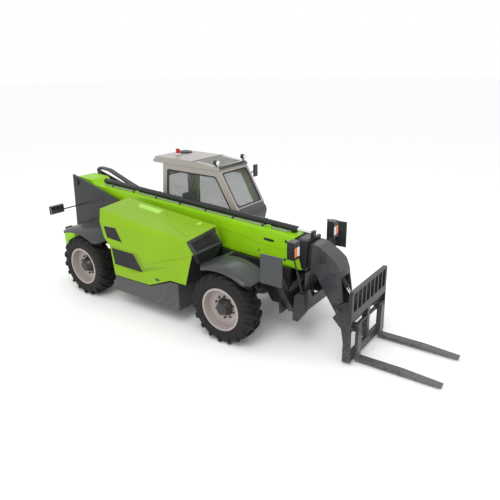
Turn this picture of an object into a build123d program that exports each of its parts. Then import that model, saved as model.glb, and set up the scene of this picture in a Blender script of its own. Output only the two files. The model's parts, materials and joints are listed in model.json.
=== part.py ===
"""Telehandler: a four-wheel-steer machine with a three-stage boom, a cab on the left, an engine
bay on the right, two front stabilisers and a fork carriage.

Frame: +X forward, +Y to the left, +Z up, millimetres. The origin is on the ground, midway between
the tail and the fork tips, on the centre line.
"""

from build123d import *
from collections import namedtuple
from math import atan2, cos, degrees, hypot, radians, sin
import os

os.makedirs("parts", exist_ok=True)

# ---------------------------------------------------------------- driving dimensions
REAR_AXLE_X = -2670
WHEELBASE = 3320
FRONT_AXLE_X = REAR_AXLE_X + WHEELBASE

TYRE_RADIUS = 580
TYRE_WIDTH = 380
WHEEL_Y = 987                 # wheel centre from the centre line
BEAD_RADIUS = 335             # where tyre and rim meet
BEAD_HALF = 165
RIM_WALL = 14
FIT = 0.3                     # gap between pieces that seat on each other
AXLE_Z = TYRE_RADIUS

KINGPIN_Y = 790
KINGPIN_BOSS = 62
KINGPIN_RADIUS = 30
YOKE_GAP = 210                # between the axle's yoke arms
YOKE_ARM = 36
PLAY = 6                      # open gap beside a pivot's boss

PLATE_IN = 290                # chassis side plates, inner and outer face
PLATE_OUT = 330
CHASSIS_FLOOR = 470
TOWER_FOOT = 1000
CHASSIS_NOSE = 1400

BOOM_PIVOT = (-3700, 1930)    # X, Z
BOOM_PIN = 50
BOOM_SLOPE = 3.42             # degrees, nose down at rest
BOOM_LENGTH = 5110            # pivot to the outer stage's mouth, at the top
BOOM_DEPTH = 500
BOOM_HALF = 220
BOOM_WALL = 14
STAGE_GAP = 12
STAGE_WALL = 12

CAB_RIGHT = 280
CAB_LEFT = 1120
CAB_WALL = 50
DOOR_GAP = 8

HOOD_OUT = 1150
HOOD_IN = 390
HOOD_WALL = 22

SILL_Z = 300                  # underside of the side boxes
DECK_Z = 750                  # top of the left side box, where the cab stands

LEG_PIVOT = (450, 580)        # Y, Z of a stabiliser leg's hinge
LEG_LENGTH = 950
LEG_STOWED = 57.3             # degrees above the horizontal
LEG_X = 1510
FOOT_OFFSET = 67

LEG_PIN = 25
FOOT_PIN = 12
STAB_PIN = 18

HEAD_HALF = 170
HEAD_PLATE = 30
TILT_PIVOT = (2190, 600)
FORK_Y = 425
FORK_TIP_X = 3850

Corner = namedtuple("Corner", "name x side")
CORNERS = [
    Corner("front_left", FRONT_AXLE_X, 1),
    Corner("front_right", FRONT_AXLE_X, -1),
    Corner("rear_left", REAR_AXLE_X, 1),
    Corner("rear_right", REAR_AXLE_X, -1),
]
SIDES = {"left": 1, "right": -1}


# ---------------------------------------------------------------- helpers
def outline(plane, points, rounding=0):
    """A closed face on a plane; rounding fillets every corner."""
    with BuildSketch(plane) as face:
        with BuildLine():
            Polyline(*points, close=True)
        make_face()
        if rounding:
            fillet(face.vertices(), rounding)
    return face.sketch


def side_slab(points, y_from, y_to, mode=Mode.ADD, rounding=0, plane=Plane.XZ):
    """A plate whose outline is seen from the side, between two Y positions."""
    low, high = min(y_from, y_to), max(y_from, y_to)
    extrude(outline(plane.offset(-low), points, rounding), amount=low - high, mode=mode)


def front_slab(points, x_low, x_high, mode=Mode.ADD, rounding=0):
    """A plate whose outline is seen from the front, as (Y, Z) points."""
    extrude(outline(Plane.YZ.offset(x_low), points, rounding), amount=x_high - x_low, mode=mode)


def plan_slab(points, z_low, z_high, mode=Mode.ADD, rounding=0):
    """A plate whose outline is seen from above, as (X, Y) points."""
    extrude(outline(Plane.XY.offset(z_low), points, rounding), amount=z_high - z_low, mode=mode)


def block(x, y, z, mode=Mode.ADD):
    """A box from three (low, high) pairs."""
    centre = [sum(span) / 2 for span in (x, y, z)]
    size = [abs(span[1] - span[0]) for span in (x, y, z)]
    with Locations(tuple(centre)):
        Box(*size, mode=mode)


def bar(start, end, radius, mode=Mode.ADD):
    """A round bar between two points."""
    start, end = Vector(*start), Vector(*end)
    with Locations(Plane(origin=start, z_dir=(end - start).normalized())):
        Cylinder(radius, (end - start).length, align=(Align.CENTER, Align.CENTER, Align.MIN), mode=mode)


def cross_bar(x, z, y_from, y_to, radius, mode=Mode.ADD):
    """A round bar along Y."""
    bar((x, min(y_from, y_to), z), (x, max(y_from, y_to), z), radius, mode)


def write(piece, name):
    """Label a finished piece and write its STEP file."""
    piece.part.label = name
    export_step(piece.part, f"parts/{name}.step")


# The boom's own plane: local x runs along the boom from its pivot, local y is up from its top edge.
slope = radians(BOOM_SLOPE)
BOOM_PLANE = Plane(
    origin=(BOOM_PIVOT[0], 0, BOOM_PIVOT[1]), x_dir=(cos(slope), 0, -sin(slope)), z_dir=(0, -1, 0)
)


def boom_point(along, up, y=0):
    """A point given along and above the boom's top edge."""
    x = BOOM_PIVOT[0] + along * cos(slope) + up * sin(slope)
    z = BOOM_PIVOT[1] - along * sin(slope) + up * cos(slope)
    return (x, y, z)


def boom_slab(points, y_from, y_to, mode=Mode.ADD, rounding=0):
    """A plate outlined in the boom's own plane."""
    side_slab(points, y_from, y_to, mode, rounding, BOOM_PLANE)


def boom_box(along, half, up, mode=Mode.ADD):
    """A box in the boom's frame, centred on the centre line."""
    (a0, a1), (u0, u1) = along, up
    boom_slab([(a0, u0), (a1, u0), (a1, u1), (a0, u1)], -half, half, mode)


def boom_bar(along_from, along_to, up, radius, mode=Mode.ADD):
    """A round bar parallel to the boom, on the centre line."""
    bar(boom_point(along_from, up), boom_point(along_to, up), radius, mode)


# ---------------------------------------------------------------- chassis
LIFT_BASE = (-3410, 680)      # X, Z of the lift cylinder's lower pin
LIFT_PIN = 32
HOOD_CREST = (-2028, -1073, 1770)     # rear outer corner of the hood's top
TOP_TILT = (0.094, -0.085, 1)         # normal of the hood's top facet
HOOD_HINGE_Y = 22 - HOOD_IN
HOOD_POSTS = (-1760, -490)
POST_WIDTH = 30
HINGE_LENGTH = 45
HINGE_KNUCKLE = 12
HINGE_PIN = 6


def hood_hinge(x):
    """A point of the hood's hinge line, which follows the slope of its inner top edge."""
    return (x, HOOD_HINGE_Y, 1808 - TOP_TILT[0] * (x - HOOD_CREST[0]))


AXLE_NOTCH = 740
AXLE_SPAN = 270
with BuildPart() as chassis_frame:
    plate = [
        (-3560, TOWER_FOOT), (-3560, 700), (REAR_AXLE_X - AXLE_SPAN, AXLE_NOTCH),
        (REAR_AXLE_X + AXLE_SPAN, AXLE_NOTCH), (REAR_AXLE_X + 420, CHASSIS_FLOOR),
        (FRONT_AXLE_X - 420, CHASSIS_FLOOR), (FRONT_AXLE_X - AXLE_SPAN, AXLE_NOTCH),
        (FRONT_AXLE_X + AXLE_SPAN, AXLE_NOTCH), (FRONT_AXLE_X + 420, 520), (CHASSIS_NOSE, 520),
        (CHASSIS_NOSE, 1150), (60, 1225), (-10, TOWER_FOOT),
    ]
    for side in (-1, 1):
        side_slab(plate, side * PLATE_IN, side * PLATE_OUT)
    # cross members between the plates: (x low, x high, z low, z high)
    for x0, x1, z0, z1 in [
        (-3560, -3480, 720, 980), (-2240, -2160, 480, 600), (-2160, 220, CHASSIS_FLOOR, 495),
        (120, 220, 495, 700), (1100, 1180, 530, 760),
    ]:
        block((x0, x1), (-PLATE_IN, PLATE_IN), (z0, z1))
    # clevis of the lift cylinder, on the rear cross member
    for y in (-110, 80):
        side_slab([(-3480, 760), (-3480, 600), (-3340, 600), (-3340, 760)], y, y + 30)
    cross_bar(*LIFT_BASE, -110, 110, LIFT_PIN)
    # posts of the hood's hinges, on the outside of the right plate
    for x in HOOD_POSTS:
        block((x, x + POST_WIDTH), (HOOD_HINGE_Y - 8, -PLATE_OUT), (TOWER_FOOT - 60, TOWER_FOOT))
        block((x, x + POST_WIDTH), (HOOD_HINGE_Y - 8, HOOD_HINGE_Y + 8), (TOWER_FOOT - 60, hood_hinge(x)[2]))
        bar(hood_hinge(x), hood_hinge(x + POST_WIDTH), HINGE_KNUCKLE)
        bar(hood_hinge(x), hood_hinge(x + POST_WIDTH + HINGE_LENGTH), HINGE_PIN)
write(chassis_frame, "chassis_frame")

with BuildPart() as boom_tower:
    cheek = [(-3870, TOWER_FOOT), (-3790, 2080), (-2370, 1690), (-1890, 1400), (-1890, TOWER_FOOT)]
    for side in (-1, 1):
        side_slab(cheek, side * PLATE_IN, side * PLATE_OUT)
        cross_bar(*BOOM_PIVOT, side * PLATE_OUT, side * (PLATE_OUT + 22), 70)
        # boss inside the cheek, beside the boom
        cross_bar(*BOOM_PIVOT, side * (BOOM_HALF + 8), side * PLATE_IN, 90)
    side_slab([(-3867, TOWER_FOOT), (-3840, 1390), (-3810, 1390), (-3837, TOWER_FOOT)], -PLATE_IN, PLATE_IN)
    cross_bar(*BOOM_PIVOT, -PLATE_IN, PLATE_IN, BOOM_PIN)
write(boom_tower, "boom_tower")

with BuildPart() as counterweight:
    # narrow enough in front for the tyres at full lock
    left = [(-3870, 600), (-3720, 760), (-3385, 760), (-3300, 650)]
    plan_slab(left + [(x, -y) for x, y in left[::-1]], 560, 998)
    block((-3575, -3290), (-PLATE_OUT - FIT, PLATE_OUT + FIT), (550, 1000), Mode.SUBTRACT)
    # towing jaw: a slot across the tail with an upright pin hole
    block((-3875, -3790), (-70, 70), (820, 880), Mode.SUBTRACT)
    bar((-3830, 0, 550), (-3830, 0, 1000), 16, Mode.SUBTRACT)
write(counterweight, "counterweight")

with BuildPart() as engine_block:
    block((-1690, -520), (-1030, -PLATE_OUT), (620, 1330))
write(engine_block, "engine_block")

with BuildPart() as side_skirt:
    side_slab(
        [(-1790, SILL_Z), (-240, SILL_Z), (-240, 780), (-400, 780), (-900, 590), (-1790, 590)], -1120, -PLATE_OUT
    )
    block((-1740, -460), (-1060, -PLATE_OUT + 1), (610, 800), Mode.SUBTRACT)
write(side_skirt, "side_skirt")

with BuildPart() as cab_step:
    block((-1790, -240), (PLATE_OUT, 1100), (SILL_Z, DECK_Z))
    block((-900, -300), (880, 1110), (DECK_Z - 230, DECK_Z + 1), Mode.SUBTRACT)
    block((-900, -300), (980, 1110), (SILL_Z + 40, DECK_Z - 230), Mode.SUBTRACT)
write(cab_step, "cab_step")

# ---------------------------------------------------------------- axles
for name, axle_x, cylinder_side in (("front_axle", FRONT_AXLE_X, -1), ("rear_axle", REAR_AXLE_X, 1)):
    with BuildPart() as axle:
        cross_bar(axle_x, AXLE_Z, -640, 640, 92)
        with Locations((axle_x, 0, AXLE_Z)):
            Sphere(155)
        for side in (-1, 1):
            # pads under the chassis plates
            block((axle_x - 90, axle_x + 90), (side * 270, side * 350), (AXLE_Z, AXLE_NOTCH))
            # yoke that holds the knuckle
            block((axle_x - 75, axle_x + 75), (side * 600, side * 680), (AXLE_Z - 141, AXLE_Z + 141))
            for up in (-1, 1):
                inner, outer = up * YOKE_GAP / 2, up * (YOKE_GAP / 2 + YOKE_ARM)
                block((axle_x - 75, axle_x + 75), (side * 600, side * KINGPIN_Y), (AXLE_Z + inner, AXLE_Z + outer))
                bar((axle_x, side * KINGPIN_Y, AXLE_Z + inner), (axle_x, side * KINGPIN_Y, AXLE_Z + outer), 75)
                bar((axle_x, side * KINGPIN_Y, AXLE_Z + inner - up), (axle_x, side * KINGPIN_Y, AXLE_Z + outer + up),
                    KINGPIN_RADIUS + FIT, Mode.SUBTRACT)
        # double-ended steering cylinder beside the beam
        behind = axle_x + cylinder_side * 165
        cross_bar(behind, AXLE_Z, -230, 230, 48)
        cross_bar(behind, AXLE_Z, -560, 560, 22)
        for y in (-180, 180):
            block((min(axle_x, behind), max(axle_x, behind)), (y - 20, y + 20), (AXLE_Z - 40, AXLE_Z + 40))
    write(axle, name)

# ---------------------------------------------------------------- wheels
for corner in CORNERS:
    def at(out, radius):
        """A point of a wheel's section: outward from the wheel's centre plane, and its radius."""
        return (corner.side * (WHEEL_Y + out), AXLE_Z + radius)

    spin = Axis((corner.x, 0, AXLE_Z), (0, 1, 0))
    half = TYRE_WIDTH / 2
    with BuildPart() as tyre:
        section = [
            at(-BEAD_HALF + 5, BEAD_RADIUS), at(BEAD_HALF - 5, BEAD_RADIUS), at(BEAD_HALF - 5, BEAD_RADIUS + 24),
            at(half - 4, 400), at(half, 470), at(half - 10, TYRE_RADIUS - 20), at(half - 30, TYRE_RADIUS),
            at(-half + 30, TYRE_RADIUS), at(-half + 10, TYRE_RADIUS - 20), at(-half, 470), at(-half + 4, 400),
            at(-BEAD_HALF + 5, BEAD_RADIUS + 24),
        ]
        revolve(outline(Plane.YZ.offset(corner.x), section), axis=spin)
    write(tyre, f"tyre_{corner.name}")

    with BuildPart() as rim:
        barrel = BEAD_RADIUS - FIT
        # barrel with a flange at each edge, and a dished disc that carries the hub
        shell = [
            at(-BEAD_HALF - 7, 351), at(-BEAD_HALF - 7, 306), at(BEAD_HALF + 5, 318), at(BEAD_HALF + 5, 351),
            at(BEAD_HALF - 5 + FIT, 351), at(BEAD_HALF - 5 + FIT, barrel), at(-BEAD_HALF + 5 - FIT, barrel),
            at(-BEAD_HALF + 5 - FIT, 351),
        ]
        revolve(outline(Plane.YZ.offset(corner.x), shell), axis=spin)
        bore = [at(-BEAD_HALF - 8, 300), at(-BEAD_HALF - 8, 0), at(BEAD_HALF + 8, 0), at(BEAD_HALF + 8, 306)]
        revolve(outline(Plane.YZ.offset(corner.x), bore), axis=spin, mode=Mode.SUBTRACT)
        disc = [
            at(20, 322), at(48, 322), at(48, 240), at(30, 150), at(125, 92), at(140, 70), at(140, 0),
            at(-45, 0), at(-45, 118), at(0, 150), at(20, 240),
        ]
        revolve(outline(Plane.YZ.offset(corner.x), disc), axis=spin)
    write(rim, f"rim_{corner.name}")

    with BuildPart() as knuckle:
        pin = (corner.x, corner.side * KINGPIN_Y)
        boss = YOKE_GAP / 2 - PLAY
        bar((*pin, AXLE_Z - boss), (*pin, AXLE_Z + boss), KINGPIN_BOSS)
        reach = YOKE_GAP / 2 + YOKE_ARM
        bar((*pin, AXLE_Z - reach), (*pin, AXLE_Z + reach), KINGPIN_RADIUS)
        cross_bar(corner.x, AXLE_Z, corner.side * KINGPIN_Y, corner.side * (WHEEL_Y - 45 - FIT), 92)
        # steering arm, towards the steering cylinder
        way = -1 if corner.x == FRONT_AXLE_X else 1
        block(
            (min(corner.x, corner.x + way * 165), max(corner.x, corner.x + way * 165)),
            (corner.side * (KINGPIN_Y - 25), corner.side * (KINGPIN_Y + 25)), (AXLE_Z - 25, AXLE_Z + 25),
        )
    write(knuckle, f"knuckle_{corner.name}")

# ---------------------------------------------------------------- fenders
FENDER_RADIUS = 815
FENDER_THICK = 14
with BuildPart() as fenders:
    for corner in CORNERS:
        centre = (corner.x + 60, AXLE_Z)
        start, sweep = 46, 84
        with BuildSketch(Plane.XZ.offset(-min(corner.side * PLATE_OUT, corner.side * 1060))) as arch:
            with BuildLine():
                outer = CenterArc(centre, FENDER_RADIUS, start, sweep)
                inner = CenterArc(centre, FENDER_RADIUS - FENDER_THICK, start, sweep)
                Line(outer @ 0, inner @ 0)
                Line(outer @ 1, inner @ 1)
            make_face()
        extrude(arch.sketch, amount=-(1060 - PLATE_OUT))
write(fenders, "fenders")

# ---------------------------------------------------------------- front frame and stabilisers
FRAME_FRONT = 1720
STAB_TOP = (70, 1015)         # Y, Z of the stabiliser cylinder's upper pin
with BuildPart() as front_frame:
    rear_wall = [(-640, 520), (640, 520), (640, 860), (330, 900), (-330, 900), (-640, 860)]
    front_slab(rear_wall, CHASSIS_NOSE, CHASSIS_NOSE + 30)
    front_wall = [
        (-640, 520), (640, 520), (640, 855), (250, 855), (180, 700), (-180, 700), (-250, 855), (-640, 855)
    ]
    front_slab(front_wall, FRAME_FRONT - 30, FRAME_FRONT)
    block((CHASSIS_NOSE + 30, FRAME_FRONT - 30), (-300, 300), (520, 545))
    for side in (-1, 1):
        column = [(FRAME_FRONT - 60, 500), (1750, 490), (1860, 660), (1855, 950), (1740, 950), (1690, 900)]
        side_slab(column, side * 560, side * 680)
        # hinge cheeks of the stabiliser leg
        for x0, x1 in ((CHASSIS_NOSE + 30, LEG_X - 60 - PLAY), (LEG_X + 60 + PLAY, FRAME_FRONT - 30)):
            bar((x0, side * LEG_PIVOT[0], LEG_PIVOT[1]), (x1, side * LEG_PIVOT[0], LEG_PIVOT[1]), 55)
        bar((CHASSIS_NOSE + 30, side * LEG_PIVOT[0], LEG_PIVOT[1]),
            (FRAME_FRONT - 30, side * LEG_PIVOT[0], LEG_PIVOT[1]), LEG_PIN)
    # post that carries the stabiliser cylinders' upper pins
    for x0, x1 in ((1430, LEG_X - 48), (LEG_X + 48, 1570)):
        front_slab([(-170, 545), (170, 545), (150, 1050), (-150, 1050)], x0, x1)
    for side in (-1, 1):
        bar((LEG_X - 48, side * STAB_TOP[0], STAB_TOP[1]), (LEG_X + 48, side * STAB_TOP[0], STAB_TOP[1]), STAB_PIN)
write(front_frame, "front_frame")


def leg_point(along, off, side, angle=LEG_STOWED):
    """A point of a stabiliser leg in the Y-Z plane: along it, and off its line on the inner side."""
    turn = radians(angle)
    y = LEG_PIVOT[0] + along * cos(turn) - off * sin(turn)
    z = LEG_PIVOT[1] + along * sin(turn) + off * cos(turn)
    return (side * y, z)


STAB_EYE = (280, 50)          # along and off the leg
for name, side in SIDES.items():
    foot_pin = leg_point(LEG_LENGTH, 0, side)
    eye = leg_point(*STAB_EYE, side)
    top = (side * STAB_TOP[0], STAB_TOP[1])
    with BuildPart() as leg:
        beam = [leg_point(-70, -45, side), leg_point(-70, 40, side), leg_point(300, 50, side),
                leg_point(LEG_LENGTH - 90, 45, side), leg_point(LEG_LENGTH - 90, -45, side),
                leg_point(300, -60, side)]
        front_slab(beam, LEG_X - 60, LEG_X + 60)
        # lugs of the cylinder's lower pin, and of the foot
        for x0 in (LEG_X - 60, LEG_X + 38):
            lug = [leg_point(190, 40, side), leg_point(240, 90, side), leg_point(320, 90, side),
                   leg_point(370, 40, side)]
            front_slab(lug, x0, x0 + 22)
        tip = [leg_point(LEG_LENGTH - 95, -45, side), leg_point(LEG_LENGTH - 95, 45, side),
               leg_point(LEG_LENGTH + 30, 28, side), leg_point(LEG_LENGTH + 30, -28, side)]
        front_slab(tip, LEG_X - 30, LEG_X + 30)
        # room for the cylinder's eye
        front_slab([leg_point(90, -10, side), leg_point(90, 130, side), leg_point(430, 130, side),
                    leg_point(430, -10, side)], LEG_X - 38, LEG_X + 38, Mode.SUBTRACT)
        bar((LEG_X - 61, side * LEG_PIVOT[0], LEG_PIVOT[1]), (LEG_X + 61, side * LEG_PIVOT[0], LEG_PIVOT[1]),
            LEG_PIN + FIT, Mode.SUBTRACT)
        bar((LEG_X - 31, *foot_pin), (LEG_X + 31, *foot_pin), FOOT_PIN + FIT, Mode.SUBTRACT)
    write(leg, f"stabiliser_leg_{name}")

    with BuildPart() as foot:
        y_pin, z_pin = foot_pin
        y_out = y_pin + side * FOOT_OFFSET
        block((LEG_X - 185, LEG_X + 185), (y_out - side * 14, y_out), (z_pin - 225, z_pin + 225))
        for x0 in (LEG_X - 60, LEG_X + 36):
            lug = [(y_out - side * 14, z_pin - 90), (y_pin - side * 30, z_pin - 25),
                   (y_pin - side * 30, z_pin + 25), (y_out - side * 14, z_pin + 90)]
            front_slab(lug, x0, x0 + 24)
        bar((LEG_X - 60, *foot_pin), (LEG_X + 60, *foot_pin), FOOT_PIN)
    write(foot, f"stabiliser_foot_{name}")

    length = hypot(eye[0] - top[0], eye[1] - top[1])
    aim = ((eye[0] - top[0]) / length, (eye[1] - top[1]) / length)

    def stab_at(distance):
        """A point on the stabiliser cylinder's line, measured from its upper pin."""
        return (LEG_X, top[0] + aim[0] * distance, top[1] + aim[1] * distance)

    with BuildPart() as cylinder:
        bar((LEG_X - 40, *top), (LEG_X + 40, *top), 42)
        bar(stab_at(0), stab_at(length - 64), 42)
        bar(stab_at(32), stab_at(length - 63), 22 + FIT, Mode.SUBTRACT)
        bar((LEG_X - 44, *top), (LEG_X + 44, *top), STAB_PIN + FIT, Mode.SUBTRACT)
    write(cylinder, f"stabiliser_barrel_{name}")
    with BuildPart() as piston:
        bar(stab_at(40), stab_at(length - 30), 22)
        bar((LEG_X - 32, *eye), (LEG_X + 32, *eye), 36)
        bar((LEG_X - 33, *eye), (LEG_X + 33, *eye), 18, Mode.SUBTRACT)
    write(piston, f"stabiliser_rod_{name}")

# ---------------------------------------------------------------- boom
MOUTH_LEAN = 170              # how far the mouth's lower lip stands forward
HUMP = 85
with BuildPart() as boom_outer:
    boom_slab(
        [(-95, -130), (-95, HUMP), (330, HUMP), (420, 0), (BOOM_LENGTH, 0),
         (BOOM_LENGTH + MOUTH_LEAN, -BOOM_DEPTH), (40, -BOOM_DEPTH)],
        -BOOM_HALF, BOOM_HALF,
    )
    boom_slab(
        [(100, -BOOM_WALL), (BOOM_LENGTH + 300, -BOOM_WALL), (BOOM_LENGTH + 300, BOOM_WALL - BOOM_DEPTH),
         (100, BOOM_WALL - BOOM_DEPTH)],
        -BOOM_HALF + BOOM_WALL, BOOM_HALF - BOOM_WALL, Mode.SUBTRACT,
    )
    # wear pads in the mouth
    mouth = (BOOM_LENGTH - 170, BOOM_LENGTH - 20)
    boom_box(mouth, BOOM_HALF - BOOM_WALL, (-BOOM_DEPTH + BOOM_WALL, -BOOM_WALL))
    slide = BOOM_HALF - BOOM_WALL - STAGE_GAP + FIT
    boom_box((mouth[0] - 1, mouth[1] + 1), slide,
             (-BOOM_DEPTH + BOOM_WALL + STAGE_GAP - FIT, -BOOM_WALL - STAGE_GAP + FIT), Mode.SUBTRACT)
    for y in (-75, 53):
        boom_slab([(2330, -BOOM_DEPTH), (2400, -BOOM_DEPTH - 110), (2500, -BOOM_DEPTH - 110),
                   (2570, -BOOM_DEPTH)], y, y + 22)
    for along in (1560, 4575):
        for y in (-130, 106):
            boom_slab([(along - 50, -2), (along - 30, 60), (along + 30, 60), (along + 50, -2)], y, y + 24)
            cross_bar(*boom_point(along, 34)[::2], y - 1, y + 25, 16, Mode.SUBTRACT)
    cross_bar(*BOOM_PIVOT, -BOOM_HALF - 1, BOOM_HALF + 1, BOOM_PIN + FIT, Mode.SUBTRACT)
write(boom_outer, "boom_outer")

TUBE_UP = 62
TUBE_RADIUS = 50
with BuildPart() as extend_barrel:
    boom_bar(520, 5040, TUBE_UP, TUBE_RADIUS)
    for end in (560, 4950):
        boom_box((end, end + 50), 46, (FIT, TUBE_UP))
    boom_bar(1500, 5050, TUBE_UP, 30 + FIT, Mode.SUBTRACT)
write(extend_barrel, "extend_barrel")

MIDDLE_START = 120
COLLAR = (BOOM_LENGTH + MOUTH_LEAN + 20, BOOM_LENGTH + MOUTH_LEAN + 65)
MIDDLE_HALF = BOOM_HALF - BOOM_WALL - STAGE_GAP
MIDDLE_UP = (-BOOM_DEPTH + BOOM_WALL + STAGE_GAP, -BOOM_WALL - STAGE_GAP)
with BuildPart() as boom_middle:
    boom_box((MIDDLE_START, COLLAR[1]), MIDDLE_HALF, MIDDLE_UP)
    boom_box((MIDDLE_START, MIDDLE_START + 150), MIDDLE_HALF + STAGE_GAP - FIT,
             (MIDDLE_UP[0] - STAGE_GAP + FIT, MIDDLE_UP[1] + STAGE_GAP - FIT))
    boom_box(COLLAR, MIDDLE_HALF + 22, (MIDDLE_UP[0] - 20, MIDDLE_UP[1] + 20))
    inside = MIDDLE_HALF - STAGE_WALL
    inside_up = (MIDDLE_UP[0] + STAGE_WALL, MIDDLE_UP[1] - STAGE_WALL)
    boom_box((MIDDLE_START - 1, COLLAR[1] + 1), inside, inside_up, Mode.SUBTRACT)
    boom_box((COLLAR[1] - 150, COLLAR[1] - 10), inside + 1, (inside_up[0] - 1, inside_up[1] + 1))
    boom_box((COLLAR[1] - 151, COLLAR[1] - 9), inside - STAGE_GAP + FIT,
             (inside_up[0] + STAGE_GAP - FIT, inside_up[1] - STAGE_GAP + FIT), Mode.SUBTRACT)
    # bracket of the telescope rod
    boom_box(COLLAR, 45, (MIDDLE_UP[1], TUBE_UP + 40))
write(boom_middle, "boom_middle")

with BuildPart() as extend_rod:
    boom_bar(1560, COLLAR[0] - FIT, TUBE_UP, 30)
write(extend_rod, "extend_rod")

INNER_START = 150
INNER_HALF = MIDDLE_HALF - STAGE_WALL - STAGE_GAP
INNER_UP = (MIDDLE_UP[0] + STAGE_WALL + STAGE_GAP, MIDDLE_UP[1] - STAGE_WALL - STAGE_GAP)
INNER_END = COLLAR[1] + 60
with BuildPart() as boom_inner:
    boom_box((INNER_START, INNER_END), INNER_HALF, INNER_UP)
    boom_box((INNER_START, INNER_START + 150), INNER_HALF + STAGE_GAP - FIT,
             (INNER_UP[0] - STAGE_GAP + FIT, INNER_UP[1] + STAGE_GAP - FIT))
    boom_box((INNER_START - 1, INNER_END - 30), INNER_HALF - STAGE_WALL,
             (INNER_UP[0] + STAGE_WALL, INNER_UP[1] - STAGE_WALL), Mode.SUBTRACT)
write(boom_inner, "boom_inner")

# ---------------------------------------------------------------- boom head
TILT_BASE = (1880, 1340)      # X, Z of the tilt cylinder's upper pin
TILT_EYE = (2330, 760)
TILT_PIN = 25
head_back = boom_point(INNER_END, 0)[0] + 2
with BuildPart() as boom_head:
    gooseneck = [
        (head_back - 60, 1575), (1800, 1540), (1905, 1478), (2005, 1419), (2112, 1331), (2164, 1197), (2213, 901),
        (2250, 640), (2200, 540), (2126, 523), (1846, 938), (1781, 1063), (head_back - 60, 1130),
    ]
    side_slab(gooseneck, -HEAD_HALF, HEAD_HALF)
    hollow = [
        (head_back + 60, 1480), (1880, 1440), (1990, 1380), (2082, 1310), (2132, 1190), (2190, 1080), (2400, 900),
        (2400, 400), (2150, 540), (1875, 948), (1810, 1085), (head_back + 60, 1170),
    ]
    side_slab(hollow, -HEAD_HALF + HEAD_PLATE, HEAD_HALF - HEAD_PLATE, Mode.SUBTRACT)
    # its back face seats on the inner stage's end
    boom_slab([(INNER_END - 400, -700), (INNER_END - 400, 100), (INNER_END + FIT, 100), (INNER_END + FIT, -700)],
              -HEAD_HALF - 5, HEAD_HALF + 5, Mode.SUBTRACT)
    for side in (-1, 1):
        cross_bar(*TILT_PIVOT, side * HEAD_HALF, side * 240, 34)
        cross_bar(*TILT_BASE, side * HEAD_HALF, side * (HEAD_HALF + 12), 45)
        cross_bar(*TILT_BASE, side * 52, side * (HEAD_HALF - HEAD_PLATE), 40)
    cross_bar(*TILT_BASE, -52, 52, TILT_PIN)
write(boom_head, "boom_head")

tilt_length = hypot(TILT_EYE[0] - TILT_BASE[0], TILT_EYE[1] - TILT_BASE[1])
tilt_aim = ((TILT_EYE[0] - TILT_BASE[0]) / tilt_length, (TILT_EYE[1] - TILT_BASE[1]) / tilt_length)


def tilt_at(distance):
    """A point on the tilt cylinder's line, measured from its upper pin."""
    return (TILT_BASE[0] + tilt_aim[0] * distance, 0, TILT_BASE[1] + tilt_aim[1] * distance)


with BuildPart() as tilt_barrel:
    cross_bar(*TILT_BASE, -40, 40, 48)
    bar(tilt_at(0), tilt_at(tilt_length - 190), 48)
    bar(tilt_at(60), tilt_at(tilt_length - 189), 28 + FIT, Mode.SUBTRACT)
    cross_bar(*TILT_BASE, -50, 50, TILT_PIN + FIT, Mode.SUBTRACT)
write(tilt_barrel, "tilt_barrel")
with BuildPart() as tilt_rod:
    bar(tilt_at(110), tilt_at(tilt_length - 30), 28)
    cross_bar(*TILT_EYE, -36, 36, 42)
    cross_bar(*TILT_EYE, -37, 37, 22, Mode.SUBTRACT)
write(tilt_rod, "tilt_rod")

# ---------------------------------------------------------------- lift cylinder
LIFT_EYE = boom_point(2450, -BOOM_DEPTH - 70)[::2]
lift_length = hypot(LIFT_EYE[0] - LIFT_BASE[0], LIFT_EYE[1] - LIFT_BASE[1])
lift_aim = ((LIFT_EYE[0] - LIFT_BASE[0]) / lift_length, (LIFT_EYE[1] - LIFT_BASE[1]) / lift_length)


def lift_at(distance):
    """A point on the lift cylinder's line, measured from its lower pin."""
    return (LIFT_BASE[0] + lift_aim[0] * distance, 0, LIFT_BASE[1] + lift_aim[1] * distance)


with BuildPart() as lift_barrel:
    cross_bar(*LIFT_BASE, -76, 76, 60)
    bar(lift_at(0), lift_at(1720), 72)
    bar(lift_at(140), lift_at(1721), 45 + FIT, Mode.SUBTRACT)
    cross_bar(*LIFT_BASE, -77, 77, LIFT_PIN + FIT, Mode.SUBTRACT)
write(lift_barrel, "lift_barrel")
with BuildPart() as lift_rod:
    bar(lift_at(160), lift_at(lift_length - 40), 45)
    cross_bar(*LIFT_EYE, -45, 45, 60)
    cross_bar(*LIFT_EYE, -46, 46, 32, Mode.SUBTRACT)
write(lift_rod, "lift_rod")

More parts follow.
